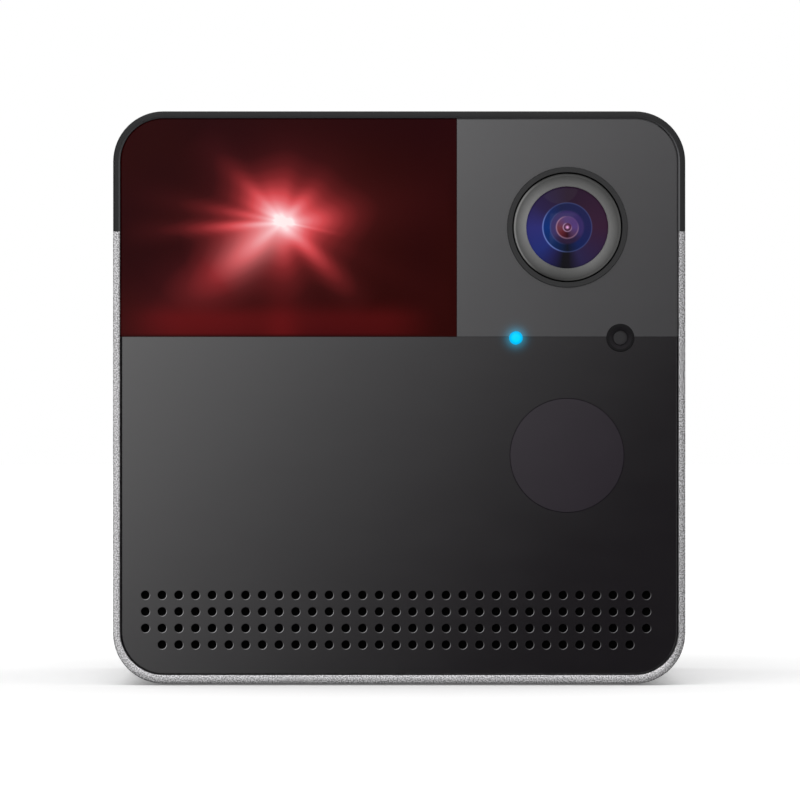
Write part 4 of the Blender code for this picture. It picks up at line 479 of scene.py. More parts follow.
@dataclass(frozen=True)
class LaserPane(Finish):
    """Dark red pane with the laser's star and a glow along its lower edge painted on it as emitted
    light, and a painted highlight on its marked top bevel.
    """

    star: Point = (-15.0, 60.2)
    corner: Point = (7.4, 45.4)
    core: Tuple[Span, ...] = ((0.483, 0.502), (0.255, 8.08))
    rays: Tuple[Ray, ...] = (
        Ray(184.0, 21.1, 0.225, 0.351, 0.85, 0.0748),
        Ray(170.0, 23.5, 0.08, 0.388, 1.69, 0.111),
        Ray(135.0, 16.1, 0.08, 0.256, 0.85, 0.167),
        Ray(82.7, 13.8, 0.148, 0.379, 2.18, 0.262),
        Ray(46.5, 17.4, 0.376, 0.606, 3.5, 0.262),
        Ray(7.66, 25.8, 2.6, 0.16, 1.18, 0.0743),
        Ray(1.11, 13.8, 0.113, 0.489, 1.74, 0.4),
        Ray(-45.9, 15.8, 0.81, 0.447, 0.878, 0.103),
        Ray(-89.4, 23.9, 0.54, 0.449, 3.5, 0.297),
        Ray(217.0, 35.8, 0.08, 0.237, 0.85, 0.252),
        Ray(193.0, 13.5, 0.08, 0.351, 0.85, 0.229),
        Ray(225.0, 17.7, 0.322, 0.341, 0.85, 0.374),
        Ray(153.0, 17.9, 0.08, 0.806, 3.5, 0.216),
        Ray(115.0, 12.5, 0.08, 0.8, 2.58, 0.4),
        Ray(-12.4, 8.48, 0.08, 0.101, 0.85, 0.033),
        Ray(-25.1, 29.9, 0.08, 0.0486, 0.85, 0.12),
    )
    painted_light_veil: Ray = Ray(219.0, 11.4, 1.91, 0.22, 1.25, 0.05)
    # Colours of the painted light of the star, from faint to brightest.
    painted_star_light: Stops = (
        (0.0, DARK), (0.10, shade(38, 7, 8)), (0.20, shade(78, 20, 22)),
        (0.30, shade(118, 33, 36)), (0.40, shade(161, 51, 55)), (0.50, shade(203, 70, 75)),
        (0.60, shade(225, 98, 104)), (0.70, shade(235, 136, 141)), (0.80, shade(246, 170, 175)),
        (0.90, shade(251, 200, 204)), (1.0, shade(254, 236, 236)))
    low_edge: Span = (-0.1, 0.5)
    right_edge: Span = (0.2, 1.4)
    edge_light: float = 0.1
    glow_colour: Colour = shade(100, 14, 17)
    glow_height: float = 2.1
    glow_over: float = 1.7
    glow_under: float = 4.15
    glow_start: Span = (-44.5, -35.3)
    glow_end: Span = (-1.3, -9.9)
    glow_turn: Span = (-19.5, -33.0)
    glow_right: float = 0.347
    glow_left: float = 0.252
    wedge: Tuple[float, float, float, float] = (-0.155, 2.2, 0.3, 11.0)
    # Colour of the painted highlight on the marked top bevel.
    bevel: Colour = shade(30, 26, 27)
    bases: Tuple[Colour, Colour] = (shade(37, 5, 8), shade(43, 7, 6))
    base_band: Span = (0.35, 0.65)

    def mix(self, recipe: Recipe) -> Dict[str, Any]:
        """Return the shader's sockets for this finish.

        Args:
            recipe: The material's node tree.

        Returns:
            The shader's sockets, by name.
        """
        place = recipe.seen_from(*self.star)
        light: Operand = 0.0
        for strength, reach in self.core:
            light = (place.away / reach).bell() * strength + light
        for ray in self.rays:
            light = light + ray.light(place)
        across, height = recipe.across_and_up(*self.corner)
        # The painted light fades towards the pane's lower and right edges.
        edge = (height.rise(*self.low_edge) * (-across).rise(*self.right_edge)
                * (1.0 - self.edge_light) + self.edge_light)
        colour = recipe.ramp((light * edge).at_most(1.0), self.painted_star_light)
        # Painted glow along the lower edge, with a painted wedge of it under the star.
        over = (height - self.glow_height).at_least(0.0) / self.glow_over
        under = (height - self.glow_height).at_most(0.0) / self.glow_under
        power = across.rise(*self.glow_turn) * self.glow_left + self.glow_right
        middle, width, strength, top = self.wedge
        wedge = place.right.band(middle, width) * height.rise(top, 0.0) * strength
        glow = ((over + under).bell() * across.rise(*self.glow_start)
                * across.rise(*self.glow_end) * power + wedge).at_most(1.0) * edge
        colour = recipe.blend(glow, colour, self.glow_colour)
        # Painted veil of pale light, then the painted highlight on the marked bevel.
        colour = recipe.blend(self.painted_light_veil.light(place), colour, BRIGHT)
        colour = recipe.blend(recipe.mark(), colour, self.bevel)
        cloud = recipe.grain(per_mm=0.035).rise(*self.base_band)
        wipe = recipe.grain(per_mm=0.12, detail=3.0)
        return {"Base Color": recipe.blend(cloud, *self.bases),
                "Roughness": wipe.about(middle=0.08, spread=0.04), "Specular IOR Level": 0.012,
                "Emission Color": colour, "Emission Strength": 1.0}


@dataclass(frozen=True)
class Moulding(Finish):
    """Moulded plastic with a fine spark-eroded texture, and the edge colour on marked faces, a
    painted highlight where it is lighter and painted shade where it is darker.
    """

    colour: Colour = shade(46, 46, 47)
    roughness: float = 0.5
    per_mm: float = 3.0
    relief: float = 0.03
    gloss: float = 0.5
    # Colour painted on the marked faces: lighter for a painted highlight, darker for painted
    # shade.
    edge: Colour = shade(72, 72, 74)
    tones: Span = (0.78, 1.18)

    def mix(self, recipe: Recipe) -> Dict[str, Any]:
        """Return the shader's sockets for this finish.

        Args:
            recipe: The material's node tree.

        Returns:
            The shader's sockets, by name.
        """
        texture = recipe.grain(self.per_mm, roughness=0.6)
        cloud = recipe.grain(per_mm=0.08, detail=3.0)
        body = recipe.vary((texture + cloud) * 0.5, self.colour, *self.tones)
        # Painted highlight or shade on the marked faces, by their strength.
        return {"Base Color": recipe.blend(recipe.mark(), body, self.edge),
                "Roughness": cloud.about(self.roughness, spread=0.12),
                "Specular IOR Level": self.gloss,
                "Normal": recipe.bump(texture, self.relief, strength=0.5)}


@dataclass(frozen=True)
class WorkedMetal(Finish):
    """Machined or plated metal with fine tool marks."""

    colour: Colour = shade(190, 190, 192)
    roughness: float = 0.34
    marks: Colour = (1.0, 6.0, 1.0)
    darker: float = 0.80
    lines_share: float = 0.6

    def mix(self, recipe: Recipe) -> Dict[str, Any]:
        """Return the shader's sockets for this finish.

        Args:
            recipe: The material's node tree.

        Returns:
            The shader's sockets, by name.
        """
        lines = recipe.grain(2.0, detail=3.0, roughness=0.6, stretch=self.marks)
        tone = lines * self.lines_share + recipe.grain(per_mm=0.15) * (1.0 - self.lines_share)
        return {"Base Color": recipe.vary(tone, self.colour, self.darker), "Metallic": 1.0,
                "Roughness": lines.about(self.roughness, spread=0.14),
                "Normal": recipe.bump(lines, depth=0.01, strength=0.4)}


@dataclass(frozen=True)
class Sheen:
    """Painted light or shade on the part of something round that lies to one side."""

    right: float
    up: float
    start: float
    full: float
    strength: float

    def light(self, place: RoundPlace) -> Signal:
        """Return its light at a point."""
        return place.toward(self.right, self.up).rise(self.start, self.full) * self.strength


@dataclass(frozen=True)
class Gleam:
    """A thin ring of painted light or shade, stronger to some sides."""

    radius: float
    width: float
    even: float
    sides: Tuple[Sheen, ...] = ()

    def light(self, place: RoundPlace) -> Signal:
        """Return the ring's light at a point.

        Args:
            place: Where the point lies, seen from the ring's centre.

        Returns:
            The light.
        """
        light: Operand = self.even
        for side in self.sides:
            light = side.light(place) + light
        return place.away.band(self.radius, self.width) * light


@dataclass(frozen=True)
class LensRing(Finish):
    """Satin grey bevel round the lens, with painted light at its inner edge and on its left,
    painted shade on its lower left and painted highlights near its outer rim.
    """

    inner: float = 5.3
    outer: float = 7.0
    tone: float = 0.174
    fall: float = 0.145
    fall_curve: float = 1.25
    even: float = 0.97
    # Painted light on the left and painted shade on the lower left.
    sides: Tuple[Sheen, ...] = (Sheen(-1.0, 0.0, 0.1, 1.0, 0.42),
                                Sheen(-0.5, -0.87, 0.3, 1.0, -0.40))
    # Painted highlights near the outer rim.
    gleams: Tuple[Gleam, ...] = (Gleam(6.83, 0.13, 0.0, (Sheen(-1.0, 0.0, 0.45, 0.95, 0.16),)),
                                 Gleam(6.84, 0.12, 0.0, (Sheen(0.8, -0.6, 0.1, 0.9, 0.04),)))
    light: Colour = (1.0, 1.0, 0.985)
    darkest: float = 0.004
    grooves: float = 42.0

    def mix(self, recipe: Recipe) -> Dict[str, Any]:
        """Return the shader's sockets for this finish.

        Args:
            recipe: The material's node tree.

        Returns:
            The shader's sockets, by name.
        """
        place = recipe.seen_from(*LENS)
        share = ((place.away - self.inner) / (self.outer - self.inner)).at_least(0.0)
        lit: Operand = self.even
        for side in self.sides:
            lit = side.light(place) + lit
        # Painted light falling off from the inner edge outward, times the painted light and shade
        # of the sides.
        tone = (self.tone - share ** self.fall_curve * self.fall) * lit
        for gleam in self.gleams:
            tone = tone + gleam.light(place)
        tone = tone + recipe.grain(per_mm=1.5).about(middle=0.0, spread=0.01)
        tone = tone.at_least(self.darkest)
        lathe = recipe.maths("SINE", place.away * self.grooves) * 0.5 + 0.5
        return {"Base Color": recipe.blend(tone, DARK, self.light), "Specular IOR Level": 0.12,
                "Roughness": lathe.about(middle=0.43, spread=0.06),
                "Normal": recipe.bump(lathe, depth=0.004, strength=0.3)}


@dataclass(frozen=True)
class CoatedLens(Finish):
    """Lens glass with painted reflections of its coatings as nested coloured rings, painted
    highlight rings, a painted shadow low in its middle and a painted glow.

    The shares of the tones go once round the lens, against the clock, from its left.
    """

    outer_tones: Stops = (
        (0.0, shade(46, 46, 110)), (0.11, shade(38, 48, 112)), (0.18, shade(36, 34, 76)),
        (0.228, shade(24, 23, 28)), (0.257, shade(26, 24, 30)), (0.31, shade(44, 38, 72)),
        (0.5, shade(54, 31, 52)), (0.75, shade(41, 26, 44)), (0.9, shade(43, 34, 70)),
        (1.0, shade(46, 46, 110)))
    second_tones: Stops = (
        (0.0, shade(17, 48, 114)), (0.12, shade(21, 44, 94)), (0.25, shade(22, 26, 38)),
        (0.34, shade(26, 37, 84)), (0.5, shade(34, 34, 78)), (0.8, shade(29, 34, 70)),
        (1.0, shade(17, 48, 114)))
    third_tones: Tuple[Colour, Colour] = (shade(55, 44, 94), shade(45, 33, 57))
    stop_tones: Stops = (
        (0.0, shade(100, 46, 62)), (0.10, shade(94, 35, 44)), (0.25, shade(50, 21, 30)),
        (0.36, shade(78, 52, 84)), (0.5, shade(82, 60, 116)), (0.8, shade(80, 56, 106)),
        (1.0, shade(100, 46, 62)))
    pupil_tone: Colour = shade(74, 34, 62)
    second_edge: Span = (3.22, 3.12)
    third_edge: Span = (2.32, 1.95)
    stop_edge: Span = (1.50, 1.36)
    pupil_edge: Span = (0.62, 0.50)
    # Painted shade on the lower side of the third ring.
    low: Sheen = Sheen(0.0, -1.0, 0.3, 1.0, 1.0)
    # Painted highlight rings, a painted shadow low inside the pupil and a painted highlight dot in
    # the middle.
    gleams: Tuple[Tuple[Colour, Gleam], ...] = (
        (shade(108, 128, 196), Gleam(3.17, 0.075, 0.16, (Sheen(-0.94, -0.34, 0.3, 1.0, 0.72),))),
        (shade(84, 84, 130), Gleam(2.2, 0.08, 0.0, (Sheen(-1.0, 0.0, -0.1, 0.9, 0.35),))),
        (shade(172, 132, 158), Gleam(1.42, 0.08, 0.04, (Sheen(-1.0, 0.0, -0.1, 0.9, 0.55),
                                                        Sheen(0.6, -0.8, 0.1, 1.0, 0.35)))),
        (shade(40, 14, 22), Gleam(0.33, 0.15, 0.0, (Sheen(0.0, -1.0, -0.1, 0.9, 0.8),))),
        (shade(196, 158, 192), Gleam(0.54, 0.07, 0.04, (Sheen(-1.0, 0.0, -0.1, 0.9, 0.55),
                                                        Sheen(0.6, -0.8, 0.1, 1.0, 0.4)))),
        (shade(236, 168, 222), Gleam(0.0, 0.18, 1.0)))
    body_share: float = 0.4

    def mix(self, recipe: Recipe) -> Dict[str, Any]:
        """Return the shader's sockets for this finish.

        Args:
            recipe: The material's node tree.

        Returns:
            The shader's sockets, by name.
        """
        place = recipe.seen_from(*LENS)
        turn = recipe.maths("ARCTAN2", place.up, place.right) / (2 * math.pi) + 0.5
        colour = recipe.ramp(turn, self.outer_tones)
        for edge, tone in ((self.second_edge, recipe.ramp(turn, self.second_tones)),
                           (self.third_edge,
                            recipe.blend(self.low.light(place), *self.third_tones)),
                           (self.stop_edge, recipe.ramp(turn, self.stop_tones)),
                           (self.pupil_edge, self.pupil_tone)):
            colour = recipe.blend(place.away.rise(*edge), colour, tone)
        for gleam_colour, gleam in self.gleams:
            colour = recipe.blend(gleam.light(place), colour, gleam_colour)
        # The colour is also given off as a painted glow.
        return {"Base Color": recipe.blend(self.body_share, DARK, colour), "Roughness": 0.04,
                "Specular IOR Level": 0.03, "Emission Color": colour, "Emission Strength": 0.6}


@dataclass(frozen=True)
class ClearGlass(Finish):
    """Glass or clear moulding with a faint tint."""

    colour: Colour = shade(120, 120, 170)
    roughness: float = 0.065
    darker: float = 0.7

    def mix(self, recipe: Recipe) -> Dict[str, Any]:
        """Return the shader's sockets for this finish.

        Args:
            recipe: The material's node tree.

        Returns:
            The shader's sockets, by name.
        """
        cloud = recipe.grain(per_mm=0.3)
        return {"Base Color": recipe.vary(cloud, self.colour, self.darker),
                "Roughness": cloud.about(self.roughness, spread=0.03),
                "Transmission Weight": 0.6, "IOR": 1.5}


@dataclass(frozen=True)
class LitPipe(Finish):
    """Lit end of the status light's pipe, a little brighter in its middle."""

    radius: float = 0.85
    core_edge: Span = (1.0, 0.45)
    base: Colour = shade(0, 60, 80)
    rim: Colour = shade(0, 178, 240)
    core: Colour = shade(0, 213, 255)

    def mix(self, recipe: Recipe) -> Dict[str, Any]:
        """Return the shader's sockets for this finish.

        Args:
            recipe: The material's node tree.

        Returns:
            The shader's sockets, by name.
        """
        away = recipe.seen_from(*LAMP).away / self.radius
        colour = recipe.blend(away.rise(*self.core_edge), self.rim, self.core)
        return {"Base Color": self.base,
                "Roughness": recipe.grain(per_mm=1.0).about(middle=0.30, spread=0.1),
                "Specular IOR Level": 0.05, "Emission Color": colour, "Emission Strength": 1.0}


@dataclass(frozen=True)
class SensorFace(Finish):
    """Dark clear cap with the paler light sensor behind it."""

    centre: Point = (28.4, 45.23)
    radius: float = 0.84
    edge: Span = (0.72, 1.18)
    pale: Colour = shade(37, 36, 38)
    deep: Colour = shade(25, 23, 26)
    cloudiness: float = 0.2

    def mix(self, recipe: Recipe) -> Dict[str, Any]:
        """Return the shader's sockets for this finish.

        Args:
            recipe: The material's node tree.

        Returns:
            The shader's sockets, by name.
        """
        away = recipe.seen_from(*self.centre).away / self.radius
        cloud = recipe.grain(per_mm=1.0)
        pale = recipe.blend(cloud * self.cloudiness, self.pale, self.deep)
        return {"Base Color": recipe.blend(away.rise(*self.edge), pale, self.deep),
                "Roughness": cloud.about(middle=0.30, spread=0.1), "Specular IOR Level": 0.15}


@dataclass(frozen=True)
class CircuitBoard(Finish):
    """Solder mask with paler tracks under it."""

    mask: Colour = shade(18, 76, 44)
    track: Colour = shade(40, 112, 66)
    turn: Tuple[float, float, float] = (0.0, 0.0, math.pi / 4)
    cells_per_metre: float = 420.0
    track_edge: Span = (0.10, 0.06)

    def mix(self, recipe: Recipe) -> Dict[str, Any]:
        """Return the shader's sockets for this finish.

        Args:
            recipe: The material's node tree.

        Returns:
            The shader's sockets, by name.
        """
        spot = recipe.signal("ShaderNodeMapping", 0, {}, {"Vector": recipe.place(),
                                                          "Rotation": self.turn})
        cells = recipe.signal("ShaderNodeTexVoronoi", "Distance",
                              {"distance": "CHEBYCHEV", "feature": "DISTANCE_TO_EDGE"},
                              {"Vector": spot, "Scale": self.cells_per_metre})
        tracks = cells.rise(*self.track_edge)
        return {"Base Color": recipe.blend(tracks, self.mask, self.track),
                "Roughness": recipe.grain(per_mm=0.5).about(middle=0.40, spread=0.1),
                "Normal": recipe.bump(tracks, depth=0.03, strength=0.6)}


@dataclass(frozen=True)
class SoundCloth(Finish):
    """Dark woven cloth behind the sound holes, darkened further as painted shade inside the holes.
    """

    colour: Colour = shade(14, 14, 15)
    threads_per_mm: float = 6.0
    darker: float = 0.5

    def mix(self, recipe: Recipe) -> Dict[str, Any]:
        """Return the shader's sockets for this finish.

        Args:
            recipe: The material's node tree.

        Returns:
            The shader's sockets, by name.
        """
        waves = [recipe.maths("SINE", place * (2 * math.pi * self.threads_per_mm))
                 for place in recipe.across_and_up(0.0, 0.0)]
        weave = waves[0] * waves[1] * 0.5 + 0.5
        return {"Base Color": recipe.vary(weave, self.colour, self.darker), "Roughness": 0.85,
                "Specular IOR Level": 0.08, "Normal": recipe.bump(weave, 0.03, strength=0.6)}


FINISHES: Dict[Slot, Finish] = {
    Slot.SLEEVE: BlastedMetal(),
    Slot.SMOKED: SmokedPane(),
    Slot.RED: LaserPane(),
    Slot.BLACK: Moulding(shade(30, 30, 31), gloss=0.3),
    Slot.GREY: Moulding(shade(140, 140, 142), roughness=0.45),
    Slot.WHITE: Moulding(shade(222, 222, 218), roughness=0.42),
    Slot.BOARD: CircuitBoard(),
    Slot.DARK_METAL: WorkedMetal(shade(84, 84, 86), roughness=0.4),
    Slot.STEEL: WorkedMetal(),
    Slot.BRASS: WorkedMetal(shade(214, 178, 110), roughness=0.3),
    Slot.COPPER: WorkedMetal(shade(205, 140, 104)),
    Slot.LENS: ClearGlass(),
    Slot.LAMP: ClearGlass(shade(150, 140, 165), roughness=0.115),
    Slot.CYAN: LitPipe(),
    Slot.RUBBER: Moulding(shade(176, 176, 178), 0.8, per_mm=1.6, relief=0.06, gloss=0.3),
    Slot.PAPER: Moulding(shade(52, 50, 48), 0.8, per_mm=1.2, relief=0.08),
}


def rim_points(radius: float, depth: float, offsets: Sequence[Span]) -> List[Span]:
    """Lay out a turned rim whose points lie so far inward of a radius and back of a depth."""
    return [(radius - inward, depth + back) for inward, back in offsets]


def add_object(name: str, data: Any) -> bpy.types.Object:
    """Add an object to the scene.

    Args:
        name: Its name.
        data: Its mesh, camera or light.

    Returns:
        The object.
    """
    made = bpy.data.objects.new(name, data)
    bpy.context.scene.collection.objects.link(made)
    return made


class Shape:
    """A mesh in the making, in millimetres."""

    def __init__(self) -> None:
        """Start empty, with a face value that finishes read as the strength of painted light or
        shade.
        """
        self.data = bmesh.new()
        self.marks = self.data.faces.layers.float.new("mark")

    def sheet(self, x: Span, z: Span, y: float, corners: Dict[Corner, float],
              steps: int) -> bmesh.types.BMFace:
        """Add a flat sheet across the object, with some corners rounded.

        Args:
            x: Left and right ends.
            z: Low and high ends.
            y: Its place in depth.
            corners: Radius of each rounded corner.
            steps: Edges of a rounded corner.

        Returns:
            The sheet's face.
        """
        before = set(self.data.faces)
        verts = bmesh.ops.create_grid(self.data, x_segments=1, y_segments=1, size=0.5)["verts"]
        bmesh.ops.scale(self.data, vec=(x[1] - x[0], z[1] - z[0], 1.0), verts=verts)
        bmesh.ops.rotate(self.data, matrix=Matrix.Rotation(math.pi / 2, 3, "X"), verts=verts)
        middle = Vector(((x[0] + x[1]) / 2, y, (z[0] + z[1]) / 2))
        bmesh.ops.translate(self.data, vec=middle, verts=verts)
        found = {corner: next(v for v in verts if (v.co.x - middle.x) * corner.value[0] > 0
                              and (v.co.z - middle.z) * corner.value[1] > 0)
                 for corner in corners}
        for corner, vert in found.items():
            bmesh.ops.bevel(self.data, geom=[vert], offset=corners[corner], segments=steps,
                            profile=0.5, affect="VERTICES", material=-1)
        return next(face for face in self.data.faces if face not in before)

    def shift(self, made: Iterable[Any], move: Sequence[float], kind: type) -> List[Any]:
        """Move new geometry.

        Args:
            made: The geometry.
            move: How far it goes.
            kind: The type of what is returned.

        Returns:
            The parts of the geometry that are of this type.
        """
        verts = [item for item in made if isinstance(item, bmesh.types.BMVert)]
        bmesh.ops.translate(self.data, vec=Vector(move), verts=verts)
        return [item for item in made if isinstance(item, kind)]

    def push(self, faces: Iterable[bmesh.types.BMFace], move: Sequence[float]) -> List[Any]:
        """Extrude faces along a line and return the new end faces."""
        made = bmesh.ops.extrude_face_region(self.data, geom=list(faces))["geom"]
        return self.shift(made, move, bmesh.types.BMFace)

    def pull(self, edges: List[Any], move: Sequence[float]) -> List[Any]:
        """Extrude edges along a line and return the new end edges."""
        made = bmesh.ops.extrude_edge_only(self.data, edges=edges)["geom"]
        return self.shift(made, move, bmesh.types.BMEdge)

    def edges_at(self, y: float) -> List[bmesh.types.BMEdge]:
        """Return the edges that lie wholly at one depth."""
        return [edge for edge in self.data.edges if all(near(vert.co.y, y) for vert in edge.verts)]

    def faces_at(self, z: float) -> List[bmesh.types.BMFace]:
        """Return the faces that lie wholly at one height."""
        return [face for face in self.data.faces if all(near(vert.co.z, z) for vert in face.verts)]

    def split_level(self, z: float, place: Sequence[float], normal: Sequence[float]) -> None:
        """Divide the faces at one height by a plane.

        Args:
            z: The faces' height.
            place: A point of the plane.
            normal: The plane's direction.
        """
        geometry = list({item for face in self.faces_at(z)
                         for item in (face, *face.edges, *face.verts)})
        bmesh.ops.bisect_plane(self.data, geom=geometry, dist=CUT, plane_co=place,
                               plane_no=normal)

    def open_level(self, z: float) -> List[bmesh.types.BMEdge]:
        """Take out the faces at one height.

        Args:
            z: Their height.

        Returns:
            The edges round them.
        """
        faces = self.faces_at(z)
        every = {edge for face in faces for edge in face.edges}
        inner = {edge for edge in every if all(other in faces for other in edge.link_faces)}
        rim = list(every - inner)
        bmesh.ops.delete(self.data, geom=faces, context="FACES_ONLY")
        bmesh.ops.delete(self.data, geom=list(inner), context="EDGES")
        return rim

    def ring(self, radius: float, steps: int, where: Matrix) -> List[bmesh.types.BMEdge]:
        """Add a ring at this place and turn, and return its edges."""
        made = bmesh.ops.create_circle(self.data, segments=steps, radius=radius, matrix=where)
        return list({edge for vert in made["verts"] for edge in vert.link_edges})

    def bore(self, radius: float, low: float, high: float,
             rims: Sequence[List[bmesh.types.BMEdge]]) -> None:
        """Join two open levels by a round bore, and close them round it.

        Args:
            radius: The bore's radius.
            low: Height of its lower end.
            high: Height of its upper end.
            rims: Edges round the lower and the upper level.
        """
        lower = self.ring(radius, steps=48, where=Matrix.Translation((0.0, 0.0, low)))
        upper = self.pull(lower, (0.0, 0.0, high - low))
        for edges, way in ((rims[0] + lower, -1.0), (rims[1] + upper, 1.0)):
            bmesh.ops.triangle_fill(self.data, edges=edges, normal=(0.0, 0.0, way))

    def round_edges(self, edges: Iterable[bmesh.types.BMEdge], width: float,
                    steps: int) -> List[bmesh.types.BMFace]:
        """Bevel some edges.

        Args:
            edges: The edges.
            width: Width of the bevel.
            steps: 1 for a flat chamfer, more for a round.

        Returns:
            The faces of the bevel.
        """
        made = bmesh.ops.bevel(self.data, geom=list(edges), offset=width, segments=steps,
                               profile=0.5, affect="EDGES", material=-1)["faces"]
        for face in made:
            face.normal_update()
        return made

    def wall(self, outer: Tuple[Span, Span, float], inner: Tuple[Span, Span, float], y: float,
             split: float) -> List[bmesh.types.BMFace]:
        """Add a flat frame between two rounded outlines, split at one height.

        Args:
            outer: X span, Z span and corner radius of the outline outside.
            inner: The same for the outline inside.
            y: Place in depth.
            split: Height at which the faces are divided.

        Returns:
            The faces of the frame.
        """
        for x, z, radius in (outer, inner):
            face = self.sheet(x, z, y, dict.fromkeys(Corner, radius), PLATE_STEPS)
            bmesh.ops.delete(self.data, geom=[face], context="FACES_ONLY")
        bmesh.ops.bridge_loops(self.data, edges=self.edges_at(y))
        geometry = [*self.data.verts, *self.data.edges, *self.data.faces]
        bmesh.ops.bisect_plane(self.data, geom=geometry, dist=CUT, plane_co=(0.0, 0.0, split),
                               plane_no=(0.0, 0.0, 1.0))
        return list(self.data.faces)

    def turn(self, profile: Sequence[Span], x: float, z: float, steps: int,
             closed: bool = False) -> "Shape":
        """Turn a profile about a line along Y.

        Args:
            profile: Radius and place in depth of each point.
            x: The line's place across.
            z: The line's height.
            steps: Faces round the turn.
            closed: Whether the last point joins the first.

        Returns:
            The shape itself.
        """
        verts = [self.data.verts.new((x + radius, y, z)) for radius, y in profile]
        pairs = list(zip(verts, verts[1:]))
        if closed:
            pairs.append((verts[-1], verts[0]))
        edges = [self.data.edges.new(pair) for pair in pairs]
        bmesh.ops.spin(self.data, geom=verts + edges, cent=(x, 0.0, z), axis=(0.0, 1.0, 0.0),
                       angle=2 * math.pi, steps=steps, use_merge=True)
        return self

    def place(self, name: str, finish: Finish, slot: Slot, body: str, node: str,
              smooth: float) -> None:
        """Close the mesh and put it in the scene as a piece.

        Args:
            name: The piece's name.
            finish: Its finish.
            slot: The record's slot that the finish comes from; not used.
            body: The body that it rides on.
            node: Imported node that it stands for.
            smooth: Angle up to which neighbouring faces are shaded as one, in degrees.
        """
        bmesh.ops.remove_doubles(self.data, verts=self.data.verts, dist=MERGE)
        bmesh.ops.recalc_face_normals(self.data, faces=self.data.faces)
        bmesh.ops.scale(self.data, vec=(METRES, METRES, METRES), verts=self.data.verts)
        mesh = bpy.data.meshes.new(name)
        self.data.to_mesh(mesh)
        self.data.free()
        mesh.shade_smooth()
        mesh.set_sharp_from_angle(angle=math.radians(smooth))
        mesh.materials.append(finish.material(name + "_finish"))
        piece = add_object(name, mesh)
        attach(piece, body)
        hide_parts(node)


@dataclass
class Opening:
    """A hole or blind well in a plate, with an optional chamfer at its mouth."""

    x: float
    z: float
    width: float
    height: float
    corner: float
    chamfer: float = 0.0
    chamfer_depth: float = 0.0
    steps: int = 4
    blind: float = 0.0
    roundest: float = 0.9999

    def cut(self, shape: Shape, outer: float, inner: float) -> Tuple[List[Any], List[Any]]:
        """Add the walls of the opening.

        Args:
            shape: The plate's shape.
            outer: Depth of the plate's outer face.
            inner: Depth of its inner face.

        Returns:
            The edges of the mouth and those at the inner face, which a blind well hasn't.
        """
        half_x, half_z = self.width / 2 + self.chamfer, self.height / 2 + self.chamfer
        radius = min(self.corner + self.chamfer, self.roundest * min(half_x, half_z))
        before = set(shape.data.edges)
        face = shape.sheet((self.x - half_x, self.x + half_x), (self.z - half_z, self.z + half_z),
                           outer, dict.fromkeys(Corner, radius), self.steps)
        bmesh.ops.delete(shape.data, geom=[face], context="FACES_ONLY")
        mouth = [edge for edge in shape.data.edges if edge not in before]
        inward = 1.0 if inner > outer else -1.0
        rim = mouth
        if self.chamfer:
            rim = shape.pull(rim, (0.0, inward * self.chamfer_depth, 0.0))
            verts = list({vert for edge in rim for vert in edge.verts})
            factor = (self.width / 2 / half_x, 1.0, self.height / 2 / half_z)
            centre = Matrix.Translation((-self.x, 0.0, -self.z))
            bmesh.ops.scale(shape.data, vec=factor, space=centre, verts=verts)
        reach = self.blind or abs(inner - outer)
        rim = shape.pull(rim, (0.0, inward * (reach - self.chamfer_depth), 0.0))
        if self.blind:
            bmesh.ops.contextual_create(shape.data, geom=rim)
            return mouth, []
        return mouth, rim


def round_opening(x: float, z: float, radius: float, chamfer: float = 0.0, steps: int = 4,
                  blind: float = 0.0) -> Opening:
    """Describe a round opening, whose chamfer is as wide as it is deep."""
    return Opening(x, z, 2 * radius, 2 * radius, radius, chamfer, chamfer, steps, blind)


@dataclass
class Notch:
    """A round bite out of a plate's low or high side."""

    x: float
    z: float
    radius: float
    side: float
    upward: bool
    steps: int = 24
    weld: float = 0.0005

    def cut(self, shape: Shape, y: Span) -> None:
        """Cut the bite into a plate whose flat faces have been taken out.

        Args:
            shape: The plate's shape.
            y: Depth of the plate's outer and inner face.
        """
        half = math.sqrt(self.radius ** 2 - (self.side - self.z) ** 2)
        for end in (self.x - half, self.x + half):
            shape.split_level(self.side, (end, 0.0, 0.0), (1.0, 0.0, 0.0))
        middle = [face for face in shape.faces_at(self.side)
                  if abs(face.calc_center_median().x - self.x) < half]
        loose = [edge for face in middle for edge in face.edges
                 if abs(edge.verts[0].co.x - edge.verts[1].co.x) > half]
        bmesh.ops.delete(shape.data, geom=middle, context="FACES_ONLY")
        bmesh.ops.delete(shape.data, geom=loose, context="EDGES")
        start = next(vert for vert in shape.data.verts if near(vert.co.y, y[0])
                     and near(vert.co.x, self.x - half) and near(vert.co.z, self.side))
        arc = 2 * math.atan2(half, self.side - self.z)
        turn = arc if self.upward else arc - 2 * math.pi
        before = set(shape.data.edges)
        bmesh.ops.spin(shape.data, geom=[start], cent=(self.x, 0.0, self.z), axis=(0.0, 1.0, 0.0),
                       angle=turn, steps=self.steps)
        rim = [edge for edge in shape.data.edges if edge not in before]
        shape.pull(rim, (0.0, y[1] - y[0], 0.0))
        bmesh.ops.remove_doubles(shape.data, verts=shape.data.verts, dist=self.weld)


